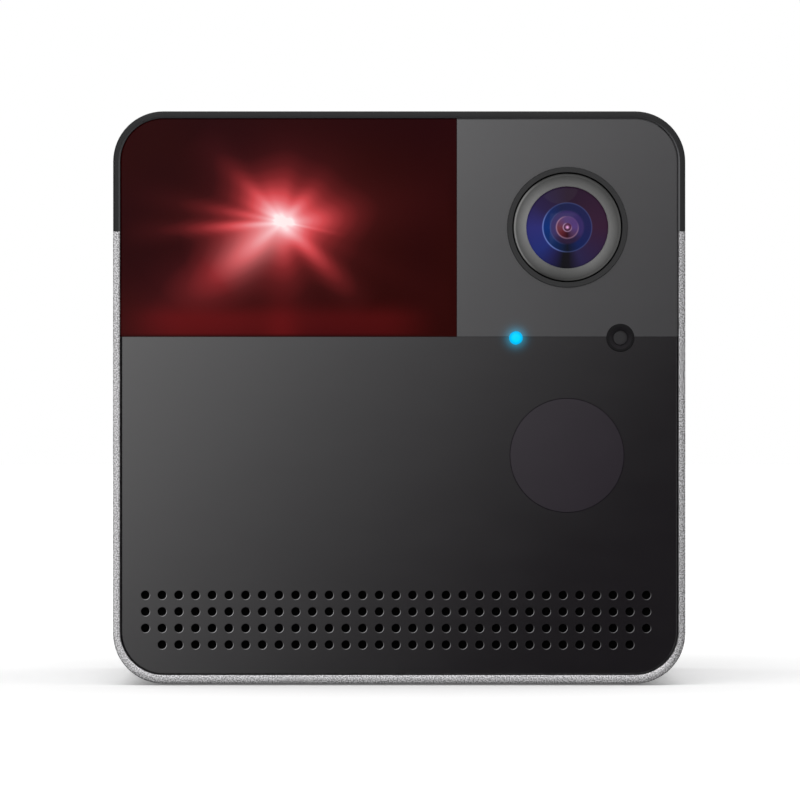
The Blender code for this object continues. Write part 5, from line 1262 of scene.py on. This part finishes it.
def pierced_plate(x: Span, z: Span, y: Span, corners: Dict[Corner, float], rim: float,
                  openings: Sequence[Opening], keep: Sequence[str] = (),
                  notches: Sequence[Notch] = (), rim_steps: int = 1) -> Shape:
    """Make a plate with a bevelled outer rim and openings.

    Args:
        x: Left and right ends.
        z: Low and high ends.
        y: Outer and inner face.
        corners: Radius of each rounded corner.
        rim: Width of the bevel round the outer face.
        openings: The openings.
        keep: Sides that stay sharp, out of left, right, low and high.
        notches: Round bites out of the low or high side.
        rim_steps: Steps of the bevel.

    Returns:
        The shape.
    """
    shape = Shape()
    shape.push([shape.sheet(x, z, y[0], corners, PLATE_STEPS)], (0.0, y[1] - y[0], 0.0))
    sides = {"left": (0, x[0]), "right": (0, x[1]), "low": (2, z[0]), "high": (2, z[1])}
    sharp = [sides[side] for side in keep]
    edges = [edge for edge in shape.edges_at(y[0])
             if not any(all(near(vert.co[axis], place) for vert in edge.verts)
                        for axis, place in sharp)]
    shape.round_edges(edges, rim, rim_steps)
    if openings:
        flat = [face for face in shape.data.faces if abs(face.normal.y) > FLAT
                and any(near(face.calc_center_median().y, end) for end in y)]
        bmesh.ops.delete(shape.data, geom=flat, context="FACES_ONLY")
        for notch in notches:
            notch.cut(shape, y)
        outer_edges = shape.edges_at(y[0])
        inner_edges = shape.edges_at(y[1])
        for opening in openings:
            mouth, end = opening.cut(shape, y[0], y[1])
            outer_edges += mouth
            inner_edges += end
        facing = -1.0 if y[1] > y[0] else 1.0
        for edges, way in ((outer_edges, facing), (inner_edges, -facing)):
            bmesh.ops.triangle_fill(shape.data, use_beauty=True, edges=edges,
                                    normal=(0.0, way, 0.0))
    return shape


@dataclass
class Assembly:
    """Pieces that are built together."""

    made: List[str] = field(default_factory=list, init=False)

    def dress(self, shape: Shape, name: str, slot: Slot, node: str,
              finish: Optional[Finish] = None, body: str = "camera_body",
              smooth: float = SMOOTH) -> None:
        """Put a shape in the scene, in its slot's own finish unless another is given."""
        shape.place(name, finish or FINISHES[slot], slot, body, node, smooth)
        self.made.append(name)


@dataclass
class Sleeve(Assembly):
    """Aluminium sleeve, black visor and rubber foot."""

    x: Span = (-37.0, 37.0)
    z: Span = (0.5, 74.5)
    corner: float = 6.5
    inner_x: Span = (-36.1, 36.1)
    inner_z: Span = (1.62, 73.62)
    inner_corner: float = 5.62
    front: float = -40.5
    notch: float = -30.5
    rear: float = 38.4
    rim_round: float = 0.14
    rim_low: float = 10.0
    visor_low: float = 59.0
    visor_gap: float = 0.05
    visor_round: float = 0.26
    visor_bevel: float = 0.2
    visor_edge: float = 5.0
    visor_wall: float = 0.4
    # Black moulding with a lighter edge colour painted as a highlight on the marked inner bevel.
    visor_finish: Finish = Moulding(shade(31, 31, 32), 0.42, per_mm=4.0, relief=0.008, gloss=0.16,
                                    edge=shade(96, 96, 98))
    left_bevel_highlight: float = 0.52
    top_bevel_highlight: float = 0.22
    foot_x: float = 29.0
    foot_y: float = 32.0
    foot_corner: float = 4.0
    foot_top: float = 0.8
    foot_gap: float = 0.3
    foot_round: float = 0.25
    foot_smooth: float = 12.0
    hole: float = 5.3

    def outlines(self) -> Tuple[Tuple[Span, Span, float], Tuple[Span, Span, float]]:
        """Return the outer and inner outlines."""
        return (self.x, self.z, self.corner), (self.inner_x, self.inner_z, self.inner_corner)

    def build_shell(self) -> None:
        """Make the sleeve with its notch for the visor and its recess for the foot."""
        shape = Shape()
        faces = shape.wall(*self.outlines(), self.notch, self.visor_low - self.visor_gap)
        shape.push(faces, (0.0, self.rear - self.notch, 0.0))
        low = [face for face in shape.data.faces
               if all(near(vert.co.y, self.notch) for vert in face.verts)
               and face.calc_center_median().z < self.visor_low - self.visor_gap]
        shape.push(low, (0.0, self.front - self.notch, 0.0))
        rim = [edge for edge in shape.edges_at(self.front)
               if len({round(vert.co.z, 3) for vert in edge.verts}) > 1
               or edge.verts[0].co.z < self.rim_low]
        shape.round_edges(rim, self.rim_round, steps=3)
        self.cut_floor(shape)
        self.dress(shape, "shell", Slot.SLEEVE, "housing_shell")

    def cut_floor(self, shape: Shape) -> None:
        """Sink the foot's recess and the thread's hole in the floor.

        Args:
            shape: The sleeve's shape.
        """
        low, high = self.z[0], self.inner_z[0]
        depth = self.foot_top + self.foot_gap - low
        half_x, half_y = self.foot_x + self.foot_gap, self.foot_y + self.foot_gap
        for axis, half in ((Vector((1.0, 0.0, 0.0)), half_x), (Vector((0.0, 1.0, 0.0)), half_y)):
            for way in (-1.0, 1.0):
                shape.split_level(low, axis * half * way, axis)
        inside = [face for face in shape.faces_at(low)
                  if abs(face.calc_center_median().x) < half_x
                  and abs(face.calc_center_median().y) < half_y]
        region = bmesh.ops.dissolve_faces(shape.data, faces=inside)["region"]
        shape.push(region, (0.0, 0.0, depth))
        walls = [edge for edge in shape.data.edges
                 if near(abs(edge.verts[0].co.x), half_x) and near(abs(edge.verts[0].co.y), half_y)
                 and abs(edge.verts[0].co.z - edge.verts[1].co.z) > depth / 2
                 and max(vert.co.z for vert in edge.verts) < high]
        shape.round_edges(walls, self.foot_corner + self.foot_gap, steps=8)
        rims = [shape.open_level(level) for level in (low + depth, high)]
        shape.bore(self.hole, low + depth, high, rims)

    def build_visor(self) -> None:
        """Make the visor, whose front edge is rounded."""
        shape = Shape()
        faces = shape.wall(*self.outlines(), self.front, self.visor_low)
        below = [face for face in faces if face.calc_center_median().z < self.visor_low]
        bmesh.ops.delete(shape.data, geom=below, context="FACES")
        shape.push(list(shape.data.faces), (0.0, self.notch - self.front - self.visor_gap, 0.0))
        along = [edge for edge in shape.edges_at(self.front) if len(edge.link_faces) == 2
                 and (all(vert.co.z > self.visor_low + SAME for vert in edge.verts)
                      or edge.calc_length() > self.visor_edge)]
        outer = [edge for edge in along if all(self.is_outside(vert.co) for vert in edge.verts)]
        inner = [edge for edge in along if edge not in outer
                 and not any(self.is_outside(vert.co) for vert in edge.verts)]
        shape.round_edges(outer, self.visor_round, steps=4)
        inner = [edge for edge in inner if edge.is_valid]
        # Painted highlight on the inner bevel: full on the right side, weaker on the left and
        # weakest at the top.
        for face in shape.round_edges(inner, self.visor_bevel, steps=1):
            upright = 1.0 - abs(face.normal.z) / math.hypot(face.normal.x, face.normal.z)
            side = self.left_bevel_highlight if face.calc_center_median().x < 0 else 1.0
            face[shape.marks] = self.top_bevel_highlight + (side - self.top_bevel_highlight) * upright
        self.dress(shape, "visor", Slot.SMOKED, "top_visor", self.visor_finish)

    def is_outside(self, spot: Vector) -> bool:
        """Tell whether a point lies on the outer outline.

        Args:
            spot: The point, at the front.

        Returns:
            Whether it does.
        """
        centre_x = math.copysign(self.x[1] - self.corner, spot.x)
        centre_z = self.z[1] - self.corner
        if abs(spot.x) < self.x[1] - self.corner:
            return spot.z > self.inner_z[1] + self.visor_wall
        if spot.z < centre_z:
            return abs(spot.x) > self.inner_x[1] + self.visor_wall
        return math.hypot(spot.x - centre_x, spot.z - centre_z) > self.corner - self.visor_wall

    def build_foot(self) -> None:
        """Make the rubber foot with its opening."""
        shape = Shape()
        verts = bmesh.ops.create_grid(shape.data, x_segments=1, y_segments=1, size=1.0)["verts"]
        bmesh.ops.scale(shape.data, vec=(self.foot_x, self.foot_y, 1.0), verts=verts)
        bmesh.ops.bevel(shape.data, geom=verts, offset=self.foot_corner, segments=10, profile=0.5,
                        affect="VERTICES", material=-1)
        shape.push(list(shape.data.faces), (0.0, 0.0, self.foot_top))
        rim = [edge for edge in shape.data.edges
               if all(near(vert.co.z, 0.0) for vert in edge.verts)]
        shape.round_edges(rim, self.foot_round, steps=3)
        rims = [shape.open_level(level) for level in (0.0, self.foot_top)]
        shape.bore(self.hole, 0.0, self.foot_top, rims)
        self.dress(shape, "foot", Slot.RUBBER, "foot_pad", smooth=self.foot_smooth)

    def build(self) -> List[str]:
        """Make every piece.

        Returns:
            Their names.
        """
        self.build_shell()
        self.build_visor()
        self.build_foot()
        return self.made


@dataclass
class Panes(Assembly):
    """The three glossy panes of the front and the round infrared window."""

    half: float = 35.97
    upper_half: float = 36.03
    low: float = 1.70
    high: float = 73.59
    seam: float = 45.35
    gap: float = 0.02
    corner: float = 5.54
    front: float = -40.3
    back: float = -38.7
    edge: float = 0.16
    window_right: float = 7.45
    lens: Disc = (*LENS, 7.80)
    pipe: Disc = (*LAMP, 0.88)
    hood: Disc = (28.6, 45.2, 1.82)
    infrared: Disc = (21.7, 30.0, 7.42)
    disc_edge: float = 0.08
    disc_rear_edge: float = 0.2
    camera_tint: Colour = (0.043, 0.042, 0.0445)
    disc_tint: Colour = (0.0165, 0.0125, 0.0178)
    hole_radius: float = 0.57
    hole_chamfer: float = 0.055
    hole_pitch: float = 2.16
    hole_rows: Tuple[Tuple[float, int], ...] = ((11.93, 31), (9.79, 31), (7.65, 31), (5.51, 29))
    hole_middle: float = -0.43
    chamfer_slopes: Span = (0.3, 0.95)
    border: float = 1.0
    side_slope: float = 0.5
    # Strengths of the painted highlights on the chamfers of the sides, the top and the sound
    # holes.
    side_glint: float = 0.03
    top_glint: float = 0.05
    hole_glint: float = 0.85
    hole_glint_fall: float = 0.4
    hole_glint_curve: float = 1.5

    def sound_holes(self) -> List[Opening]:
        """Lay out the sound holes.

        Returns:
            The holes, row by row.
        """
        return [round_opening(self.hole_middle + (number - (count - 1) / 2) * self.hole_pitch, z,
                              self.hole_radius, self.hole_chamfer)
                for z, count in self.hole_rows for number in range(count)]

    def mark_glints(self, shape: Shape) -> None:
        """Mark the chamfers that get a painted highlight, as if lit from the upper left.

        Args:
            shape: The pane's shape.
        """
        bmesh.ops.recalc_face_normals(shape.data, faces=shape.data.faces)
        top = self.hole_rows[0][0] + 2 * self.hole_radius
        bottom = self.hole_rows[-1][0] - 2 * self.hole_radius
        for face in shape.data.faces:
            middle, normal = face.calc_center_median(), face.normal
            if not self.chamfer_slopes[0] < -normal.y < self.chamfer_slopes[1]:
                continue
            if abs(middle.x) > self.half - self.border:
                face[shape.marks] = self.side_glint * (normal.x > self.side_slope)
            elif middle.z > self.high - self.border:
                face[shape.marks] = self.top_glint * (normal.z > self.side_slope)
            elif bottom < middle.z < top:
                # Painted highlight, strongest on the holes' lower right and weaker towards the
                # right of the pane.
                lit = (normal.z - normal.x) / math.hypot(normal.x, normal.z) / math.sqrt(2)
                share = self.hole_glint - self.hole_glint_fall * middle.x / self.half
                face[shape.marks] = share * max(0.0, lit) ** self.hole_glint_curve

    def notches(self, side: float, upward: bool) -> List[Notch]:
        """Return the bites that leave room for the two lights on the seam."""
        return [Notch(*spot, side, upward) for spot in (self.pipe, self.hood)]

    def build(self) -> List[str]:
        """Make every pane.

        Returns:
            Their names.
        """
        depth = (self.front, self.back)
        over, under = self.seam + self.gap, self.seam - self.gap
        window = pierced_plate((-self.upper_half, self.window_right - self.gap),
                               (over, self.high), depth, {Corner.TOP_LEFT: self.corner},
                               self.edge, [], ("right", "low"))
        camera = pierced_plate((self.window_right + self.gap, self.upper_half),
                               (over, self.high), depth, {Corner.TOP_RIGHT: self.corner},
                               self.edge, [round_opening(*self.lens, steps=PLATE_STEPS)],
                               ("left", "low"), self.notches(over, True))
        lower = pierced_plate((-self.half, self.half), (self.low, under), depth,
                              {Corner.BOTTOM_LEFT: self.corner, Corner.BOTTOM_RIGHT: self.corner},
                              self.edge,
                              [*self.sound_holes(),
                               round_opening(*self.infrared, steps=PLATE_STEPS)],
                              ("high",), self.notches(under, False))
        for shape, name, slot, node, finish in (
                (window, "window", Slot.RED, "laser_window", None),
                (camera, "camera_pane", Slot.SMOKED, "camera_panel", SmokedPane(self.camera_tint)),
                (lower, "lower_pane", Slot.SMOKED, "speaker_panel", None)):
            self.mark_glints(shape)
            self.dress(shape, name, slot, node, finish)
        x, z, radius = self.infrared
        radius -= self.gap
        profile = [(0.0, self.front), (radius - self.disc_edge, self.front),
                   (radius, self.front + self.disc_edge),
                   (radius, self.back - self.disc_rear_edge),
                   (radius - self.disc_rear_edge, self.back), (0.0, self.back)]
        self.dress(Shape().turn(profile, x, z, steps=96), "infrared_disc", Slot.SMOKED,
                   "ir_window", SmokedPane(self.disc_tint))
        return self.made


@dataclass
class LensUnit(Assembly):
    """Everything of the lens that shows."""

    ring: Span = (7.11, 7.78)
    ring_depth: Span = (-40.5, -38.7)
    ring_edges: Span = (0.04, 0.06)
    ring_finish: Finish = Moulding(shade(38, 38, 39), 0.42, per_mm=4.0, relief=0.01, gloss=0.2)
    head: float = 6.96
    head_front: float = -40.3
    head_rear: float = -36.4
    head_edge: Tuple[Span, ...] = ((0.0, 0.12), (0.05, 0.03), (0.14, 0.0), (0.34, 0.0),
                                   (0.42, 0.06))
    glass: float = 5.3
    bevel: float = 0.7
    bevel_end: Tuple[Span, ...] = ((-0.12, -0.05), (-0.02, 0.04), (0.0, 0.16))
    seat: float = -37.0
    bore: float = 4.5
    bore_end: float = -31.2
    rear_bore: float = 3.2
    rear: float = -27.9
    thread: float = 6.0
    glass_gap: float = 0.02
    glass_sink: float = 0.35
    glass_back: float = -37.3
    crown: float = 1.0
    crown_steps: int = 16
    steps: int = 128

    def glass_profile(self) -> List[Span]:
        """Lay out the crowned front glass.

        Returns:
            Radius and place in depth of each point.
        """
        edge = self.glass - self.glass_gap
        rim = self.head_front + self.bevel + self.glass_sink
        ball = (edge ** 2 + self.crown ** 2) / (2 * self.crown)
        reach = math.asin(edge / ball)
        turns = [reach * step / self.crown_steps for step in range(self.crown_steps + 1)]
        dome = [(ball * math.sin(turn), rim + ball * (math.cos(reach) - math.cos(turn)))
                for turn in turns]
        return dome + [(edge, self.glass_back), (0.0, self.glass_back)]

    def build(self) -> List[str]:
        """Make the ring, the bevel and the glass.

        Returns:
            Their names.
        """
        inner, outer = self.ring
        front, back = self.ring_depth
        inner_edge, outer_edge = self.ring_edges
        ring = [(inner + inner_edge, front), (outer - outer_edge, front),
                (outer, front + outer_edge), (outer, back), (inner, back),
                (inner, front + inner_edge)]
        head = [(self.head, self.head_rear),
                *rim_points(self.head, self.head_front, self.head_edge),
                *rim_points(self.glass, self.head_front + self.bevel, self.bevel_end),
                (self.glass, self.seat), (self.bore, self.seat), (self.bore, self.bore_end),
                (self.rear_bore, self.bore_end), (self.rear_bore, self.rear),
                (self.thread, self.rear), (self.thread, self.head_rear)]
        for profile, name, slot, node, finish in (
                (ring, "lens_ring", Slot.BLACK, "lens_trim_ring", self.ring_finish),
                (head, "lens_bevel", Slot.DARK_METAL, "lens_barrel", LensRing()),
                (self.glass_profile(), "lens_glass_front", Slot.LENS, "lens_front_element",
                 CoatedLens())):
            shape = Shape().turn(profile, *LENS, self.steps, closed=profile[0][0] > 0.0)
            self.dress(shape, name, slot, node, finish)
        return self.made


@dataclass
class Lights(Assembly):
    """Status light and light sensor."""

    front: float = -40.3
    pipe: float = 0.85
    pipe_end: Tuple[Span, ...] = ((0.85, -0.14), (0.425, -0.11), (0.1275, -0.05), (0.0, 0.05))
    pipe_rear: float = -35.7
    sensor: Point = (28.6, 45.2)
    hood: float = 1.79
    hood_end: Tuple[Span, ...] = ((0.39, 0.04), (0.33, -0.02), (0.08, -0.02), (0.0, 0.06))
    hood_rear: float = -35.9
    hood_bore: float = 0.95
    hood_cone: float = 0.42
    # Dark moulding with a darker edge colour painted as shade on the marked lip.
    hood_finish: Finish = Moulding(shade(30, 28, 31), 0.6, per_mm=4.0, relief=0.01, gloss=0.12,
                                   edge=shade(13, 12, 14))
    rod: float = 0.92
    rod_end: Tuple[Span, ...] = ((0.92, 0.32), (0.03, 0.32), (0.0, 0.35))
    rod_rear: Span = (-35.6, -34.4)
    rod_flange: float = 1.4

    def build_hood(self) -> Shape:
        """Make the sensor's well, whose flat front is marked for painted shade.

        Returns:
            The shape.
        """
        profile = [*rim_points(self.hood, self.front, self.hood_end), (self.hood, self.hood_rear),
                   (self.hood_bore, self.hood_rear), (self.hood_bore, self.front + self.hood_cone)]
        shape = Shape().turn(profile, *self.sensor, steps=64, closed=True)
        bmesh.ops.recalc_face_normals(shape.data, faces=shape.data.faces)
        for face in shape.data.faces:
            face[shape.marks] = float(face.normal.y < -FLAT)
        return shape

    def build(self) -> List[str]:
        """Make both lights.

        Returns:
            Their names.
        """
        pipe = [*rim_points(self.pipe, self.front, self.pipe_end), (self.pipe, self.pipe_rear),
                (0.0, self.pipe_rear)]
        start, end = self.rod_rear
        rod = [*rim_points(self.rod, self.front, self.rod_end), (self.rod, start),
               (self.rod_flange, start), (self.rod_flange, end), (0.0, end)]
        self.dress(Shape().turn(pipe, *LAMP, steps=48), "status_light", Slot.CYAN, "light_pipe")
        self.dress(self.build_hood(), "sensor_well", Slot.BLACK, "sensor_hood", self.hood_finish)
        self.dress(Shape().turn(rod, *self.sensor, steps=48), "sensor_rod", Slot.LAMP,
                   "light_sensor", SensorFace())
        return self.made


@dataclass
class BackCover(Assembly):
    """Rear cover with its vents, power opening, screws and reset button."""

    x: Span = (-37.0, 37.0)
    z: Span = (0.5, 74.5)
    corner: float = 6.5
    outer: float = 40.5
    inner: float = 38.7
    edge: float = 0.6
    smooth: float = 8.0
    finish: Finish = Moulding(shade(44, 44, 46), 0.52, per_mm=2.2, relief=0.05)
    plug: Tuple[float, float, float, float, float] = (0.0, 13.8, 11.5, 5.5, 2.6)
    plug_chamfer: float = 0.35
    vents: int = 8
    vent_pitch: float = 5.0
    vent_size: Tuple[float, float] = (2.0, 16.0)
    vent_middle: float = 48.5
    chamfer: float = 0.2
    screws: Tuple[Tuple[str, float, float], ...] = (
        ("bottom_left", -32.0, 5.5), ("bottom_right", 32.0, 5.5),
        ("top_left", -32.0, 69.5), ("top_right", 32.0, 69.5))
    well: float = 2.1
    well_depth: float = 1.3
    head: float = 1.9
    head_thick: float = 0.9
    head_sink: float = 0.3
    head_edge: Tuple[Span, ...] = ((0.25, 0.0), (0.08, -0.08), (0.0, -0.25))
    drive_mouth: float = 0.8
    drive: float = 0.72
    drive_depth: float = 0.5
    shank: float = 0.85
    shank_length: float = 13.0
    button: Disc = (16.0, 14.0, 1.3)
    button_gap: float = 0.2
    button_chamfer: float = 0.25
    button_end: Tuple[Span, ...] = ((1.3, 40.12), (0.585, 40.15), (0.195, 40.2), (0.06, 40.16),
                                    (0.0, 40.02))
    collar: float = 2.0
    collar_depth: Span = (38.6, 37.6)
    button_rear: float = 36.2

    def build_cover(self) -> None:
        """Make the cover plate with its openings."""
        width, height = self.vent_size
        x, z, radius = self.button
        openings = [Opening(*self.plug, self.plug_chamfer, self.plug_chamfer, steps=8)]
        openings += [Opening((number - (self.vents - 1) / 2) * self.vent_pitch, self.vent_middle,
                             width, height, width / 2, self.chamfer, self.chamfer, steps=6)
                     for number in range(self.vents)]
        openings += [round_opening(*spot, self.well, self.chamfer, steps=10, blind=self.well_depth)
                     for _, *spot in self.screws]
        openings.append(round_opening(x, z, radius + self.button_gap, self.button_chamfer,
                                      steps=8))
        cover = pierced_plate(self.x, self.z, (self.outer, self.inner),
                              dict.fromkeys(Corner, self.corner), self.edge, openings,
                              rim_steps=5)
        self.dress(cover, "cover", Slot.BLACK, "back_cover", self.finish, smooth=self.smooth)

    def build_screws(self) -> None:
        """Make the four screws with their six-sided drives."""
        seat = self.outer - self.well_depth + self.head_sink
        end = seat + self.head_thick
        tip = seat - self.shank_length
        profile = [(self.drive_mouth, end), *rim_points(self.head, end, self.head_edge),
                   (self.head, seat), (self.shank, seat), (self.shank, tip), (0.0, tip)]
        for name, x, z in self.screws:
            screw = Shape().turn(profile, x, z, steps=48)
            bmesh.ops.remove_doubles(screw.data, verts=screw.data.verts, dist=MERGE)
            mouth = [edge for edge in screw.edges_at(end)
                     if all(math.hypot(vert.co.x - x, vert.co.z - z) < self.drive_mouth + SAME
                            for vert in edge.verts)]
            where = Matrix.Translation((x, end, z)) @ Matrix.Rotation(math.pi / 2, 4, "X")
            rim = screw.ring(self.drive, steps=6, where=where)
            bottom = screw.pull(rim, (0.0, -self.drive_depth, 0.0))
            bmesh.ops.contextual_create(screw.data, geom=bottom)
            bmesh.ops.triangle_fill(screw.data, edges=mouth + rim, normal=(0.0, 1.0, 0.0))
            self.dress(screw, "cover_screw_" + name, Slot.STEEL, "back_screw_" + name)

    def build_button(self) -> None:
        """Make the reset button, which slides with its own body."""
        x, z, radius = self.button
        start, end = self.collar_depth
        profile = [*rim_points(radius, 0.0, self.button_end), (radius, start),
                   (self.collar, start), (self.collar, end), (radius, end),
                   (radius, self.button_rear), (0.0, self.button_rear)]
        self.dress(Shape().turn(profile, x, z, steps=48), "reset_knob", Slot.GREY,
                   "reset_button", body="reset_key")

    def build(self) -> List[str]:
        """Make every piece.

        Returns:
            Their names.
        """
        self.build_cover()
        self.build_screws()
        self.build_button()
        return self.made


@dataclass
class Inside:
    """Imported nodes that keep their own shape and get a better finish."""

    cloth: Tuple[str, ...] = ("acoustic_mesh",)
    # The front frame and its screws show through the sound holes and seams; they are painted
    # nearly black, darker than the black moulding, as painted shade.
    black_with_painted_shade: Tuple[str, ...] = ("front_frame", "frame_screw_left", "frame_screw_right")
    painted_shade_black: Finish = Moulding(shade(5, 5, 6), roughness=0.6, gloss=0.05)

    def build(self) -> List[str]:
        """Dress the nodes.

        Returns:
            Their names.
        """
        slots = {part["node"]: part["material_slot"] for part in frame["record"]["subparts"]}
        finishes = {slot.value: finish.material("inside_" + slot.value)
                    for slot, finish in FINISHES.items()}
        special = {name: SoundCloth().material("inside_sound_cloth") for name in self.cloth}
        black = self.painted_shade_black.material("inside_painted_shade_black")
        special.update({name: black for name in self.black_with_painted_shade})
        for name, node in frame["nodes"].items():
            node.data.materials.clear()
            node.data.materials.append(special.get(name, finishes[slots[name]]))
        return list(frame["nodes"])


@dataclass
class Studio:
    """Floor, light and camera, whose lengths are in metres."""

    distance: float = 1.20
    pixels_per_metre: float = 7733.8
    pixels: float = 800.0
    sensor: float = 36.0
    clip: Span = (0.05, 50.0)
    aim: Point = (0.000103, 0.037164)
    front: float = -0.0405
    level: float = 0.84
    sky: Span = (-0.35, 0.25)
    dark_mirror: float = 0.85
    floor_half: float = 4.0
    floor_level: float = 0.00026
    floor_paint: Colour = shade(240, 240, 240)
    floor_glow: float = 0.10
    card_half: float = 0.45
    card_behind: float = 0.3
    card_level: float = 0.0375
    card_slope: Tuple[float, float] = (0.3437, 0.2818)
    card_middle: float = 43.2
    card_strength: float = 25.0
    haze: float = 0.0065
    tones: Tuple[Tuple[float, float], ...] = (
        (0.0, 25.0), (0.12, 26.5), (0.2, 36.0), (0.3, 46.5), (0.4, 58.0), (0.5, 68.0),
        (0.62, 82.5), (0.75, 94.0), (1.0, 119.0))
    lamp_strength: float = 0.75
    lamp_angle: float = 35.0
    lamp_from: Tuple[float, float, float] = (-0.15, -1.0, 0.95)

    @staticmethod
    def add_sheet(name: str, half: float, where: Matrix) -> Tuple[bpy.types.Object, Recipe]:
        """Add a square sheet to the stage.

        Args:
            name: Its name.
            half: Half its side.
            where: Its place and turn.

        Returns:
            The sheet, and the node tree of its paint.
        """
        data = bmesh.new()
        bmesh.ops.create_grid(data, x_segments=1, y_segments=1, size=half, matrix=where)
        mesh = bpy.data.meshes.new(name)
        data.to_mesh(mesh)
        data.free()
        paint = bpy.data.materials.new(name + "_paint")
        paint.use_nodes = True
        mesh.materials.append(paint)
        sheet = add_object(name, mesh)
        return sheet, Recipe(paint.node_tree)

    def build_camera(self) -> None:
        """Aim a long lens at the front, so that it shows as flat as in the picture."""
        data = bpy.data.cameras.new("long_lens")
        data.sensor_width = self.sensor
        data.lens = self.pixels_per_metre * self.distance * self.sensor / self.pixels
        data.clip_start, data.clip_end = self.clip
        camera = add_object("long_lens", data)
        camera.location = (self.aim[0], self.front - self.distance, self.aim[1])
        camera.rotation_euler = (math.pi / 2, 0.0, 0.0)
        bpy.context.scene.camera = camera

    def build_world(self) -> None:
        """Light everything evenly, and show white to the camera, to gloss and to glass."""
        world = bpy.data.worlds.new("studio")
        world.use_nodes = True
        bpy.context.scene.world = world
        recipe = Recipe(world.node_tree)
        path = recipe.node("ShaderNodeLightPath", {}, {})
        seen, glossy, through = (Signal(recipe, path.outputs[name]) for name in
                                 ("Is Camera Ray", "Is Glossy Ray", "Is Transmission Ray"))
        facing = recipe.signal("ShaderNodeTexCoord", "Generated", {}, {})
        height = recipe.signal("ShaderNodeSeparateXYZ", "Z", {}, {0: facing}).rise(*self.sky)
        mirrored = glossy * (1.0 - height) * self.dark_mirror
        strength = (seen.at_least(glossy).at_least(through) * (1.0 - self.level) + self.level
                    - mirrored)
        light = recipe.signal("ShaderNodeBackground", 0, {}, {"Color": BRIGHT,
                                                              "Strength": strength})
        recipe.node("ShaderNodeOutputWorld", {}, {0: light})

    def build_floor(self) -> None:
        """Make the pale floor, which keeps the object's shadow."""
        floor, recipe = self.add_sheet("floor", self.floor_half,
                                       Matrix.Translation((0.0, 0.0, self.floor_level)))
        floor.visible_glossy = False
        plain, bright = (
            recipe.signal("ShaderNodeBsdfPrincipled", 0, {}, {
                "Base Color": colour, "Roughness": 0.9, "Specular IOR Level": 0.0,
                "Emission Color": BRIGHT, "Emission Strength": glow})
            for colour, glow in ((self.floor_paint, 0.0), (BRIGHT, self.floor_glow)))
        seen = recipe.signal("ShaderNodeLightPath", "Is Camera Ray", {}, {})
        mixed = recipe.signal("ShaderNodeMixShader", 0, {}, {0: seen, 1: plain, 2: bright})
        recipe.node("ShaderNodeOutputMaterial", {}, {0: mixed})

    def build_card(self) -> None:
        """Hang a card behind the camera, paler at its upper left, for the gloss to reflect."""
        spot = (0.0, self.front - self.distance - self.card_behind, self.card_level)
        where = Matrix.Translation(spot) @ Matrix.Rotation(-math.pi / 2, 4, "X")
        card, recipe = self.add_sheet("card", self.card_half, where)
        right, up = recipe.across_and_up(0.0, self.card_level / METRES)
        left_share, up_share = self.card_slope
        tone = (up * up_share - right * left_share + self.card_middle) / 100.0
        stops = tuple((place, tuple(max(0.0, part - self.haze) for part in shade(*[level] * 3)))
                      for place, level in self.tones)
        glow = recipe.signal("ShaderNodeEmission", 0, {}, {
            "Color": recipe.ramp(tone.share(), stops), "Strength": self.card_strength})
        recipe.node("ShaderNodeOutputMaterial", {}, {0: glow})
        card.visible_camera = False
        card.visible_diffuse = False
        card.visible_shadow = False
        card.visible_transmission = False

    def build_lamp(self) -> None:
        """Add a soft lamp above the camera, a little to the left."""
        data = bpy.data.lights.new("lamp", "SUN")
        data.energy = self.lamp_strength
        data.angle = math.radians(self.lamp_angle)
        turn = Vector(self.lamp_from).to_track_quat("Z", "Y")
        add_object("lamp", data).rotation_euler = turn.to_euler()

    def build(self) -> List[str]:
        """Make the studio.

        Returns:
            The names of what it holds.
        """
        bpy.context.scene.view_settings.view_transform = "Standard"
        self.build_camera()
        self.build_world()
        self.build_floor()
        self.build_card()
        self.build_lamp()
        return ["camera", "world", "floor", "card", "lamp"]


def main() -> None:
    """Build the studio and the object's looks, and report each piece."""
    logging.basicConfig(level=logging.INFO, format="%(message)s")
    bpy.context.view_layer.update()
    parts = (Studio(), Inside(), Sleeve(), Panes(), LensUnit(), Lights(), BackCover())
    for part in parts:
        names = part.build()
        Report.info("%s: %s", type(part).__name__, ", ".join(names))


if __name__ == "__main__":
    main()
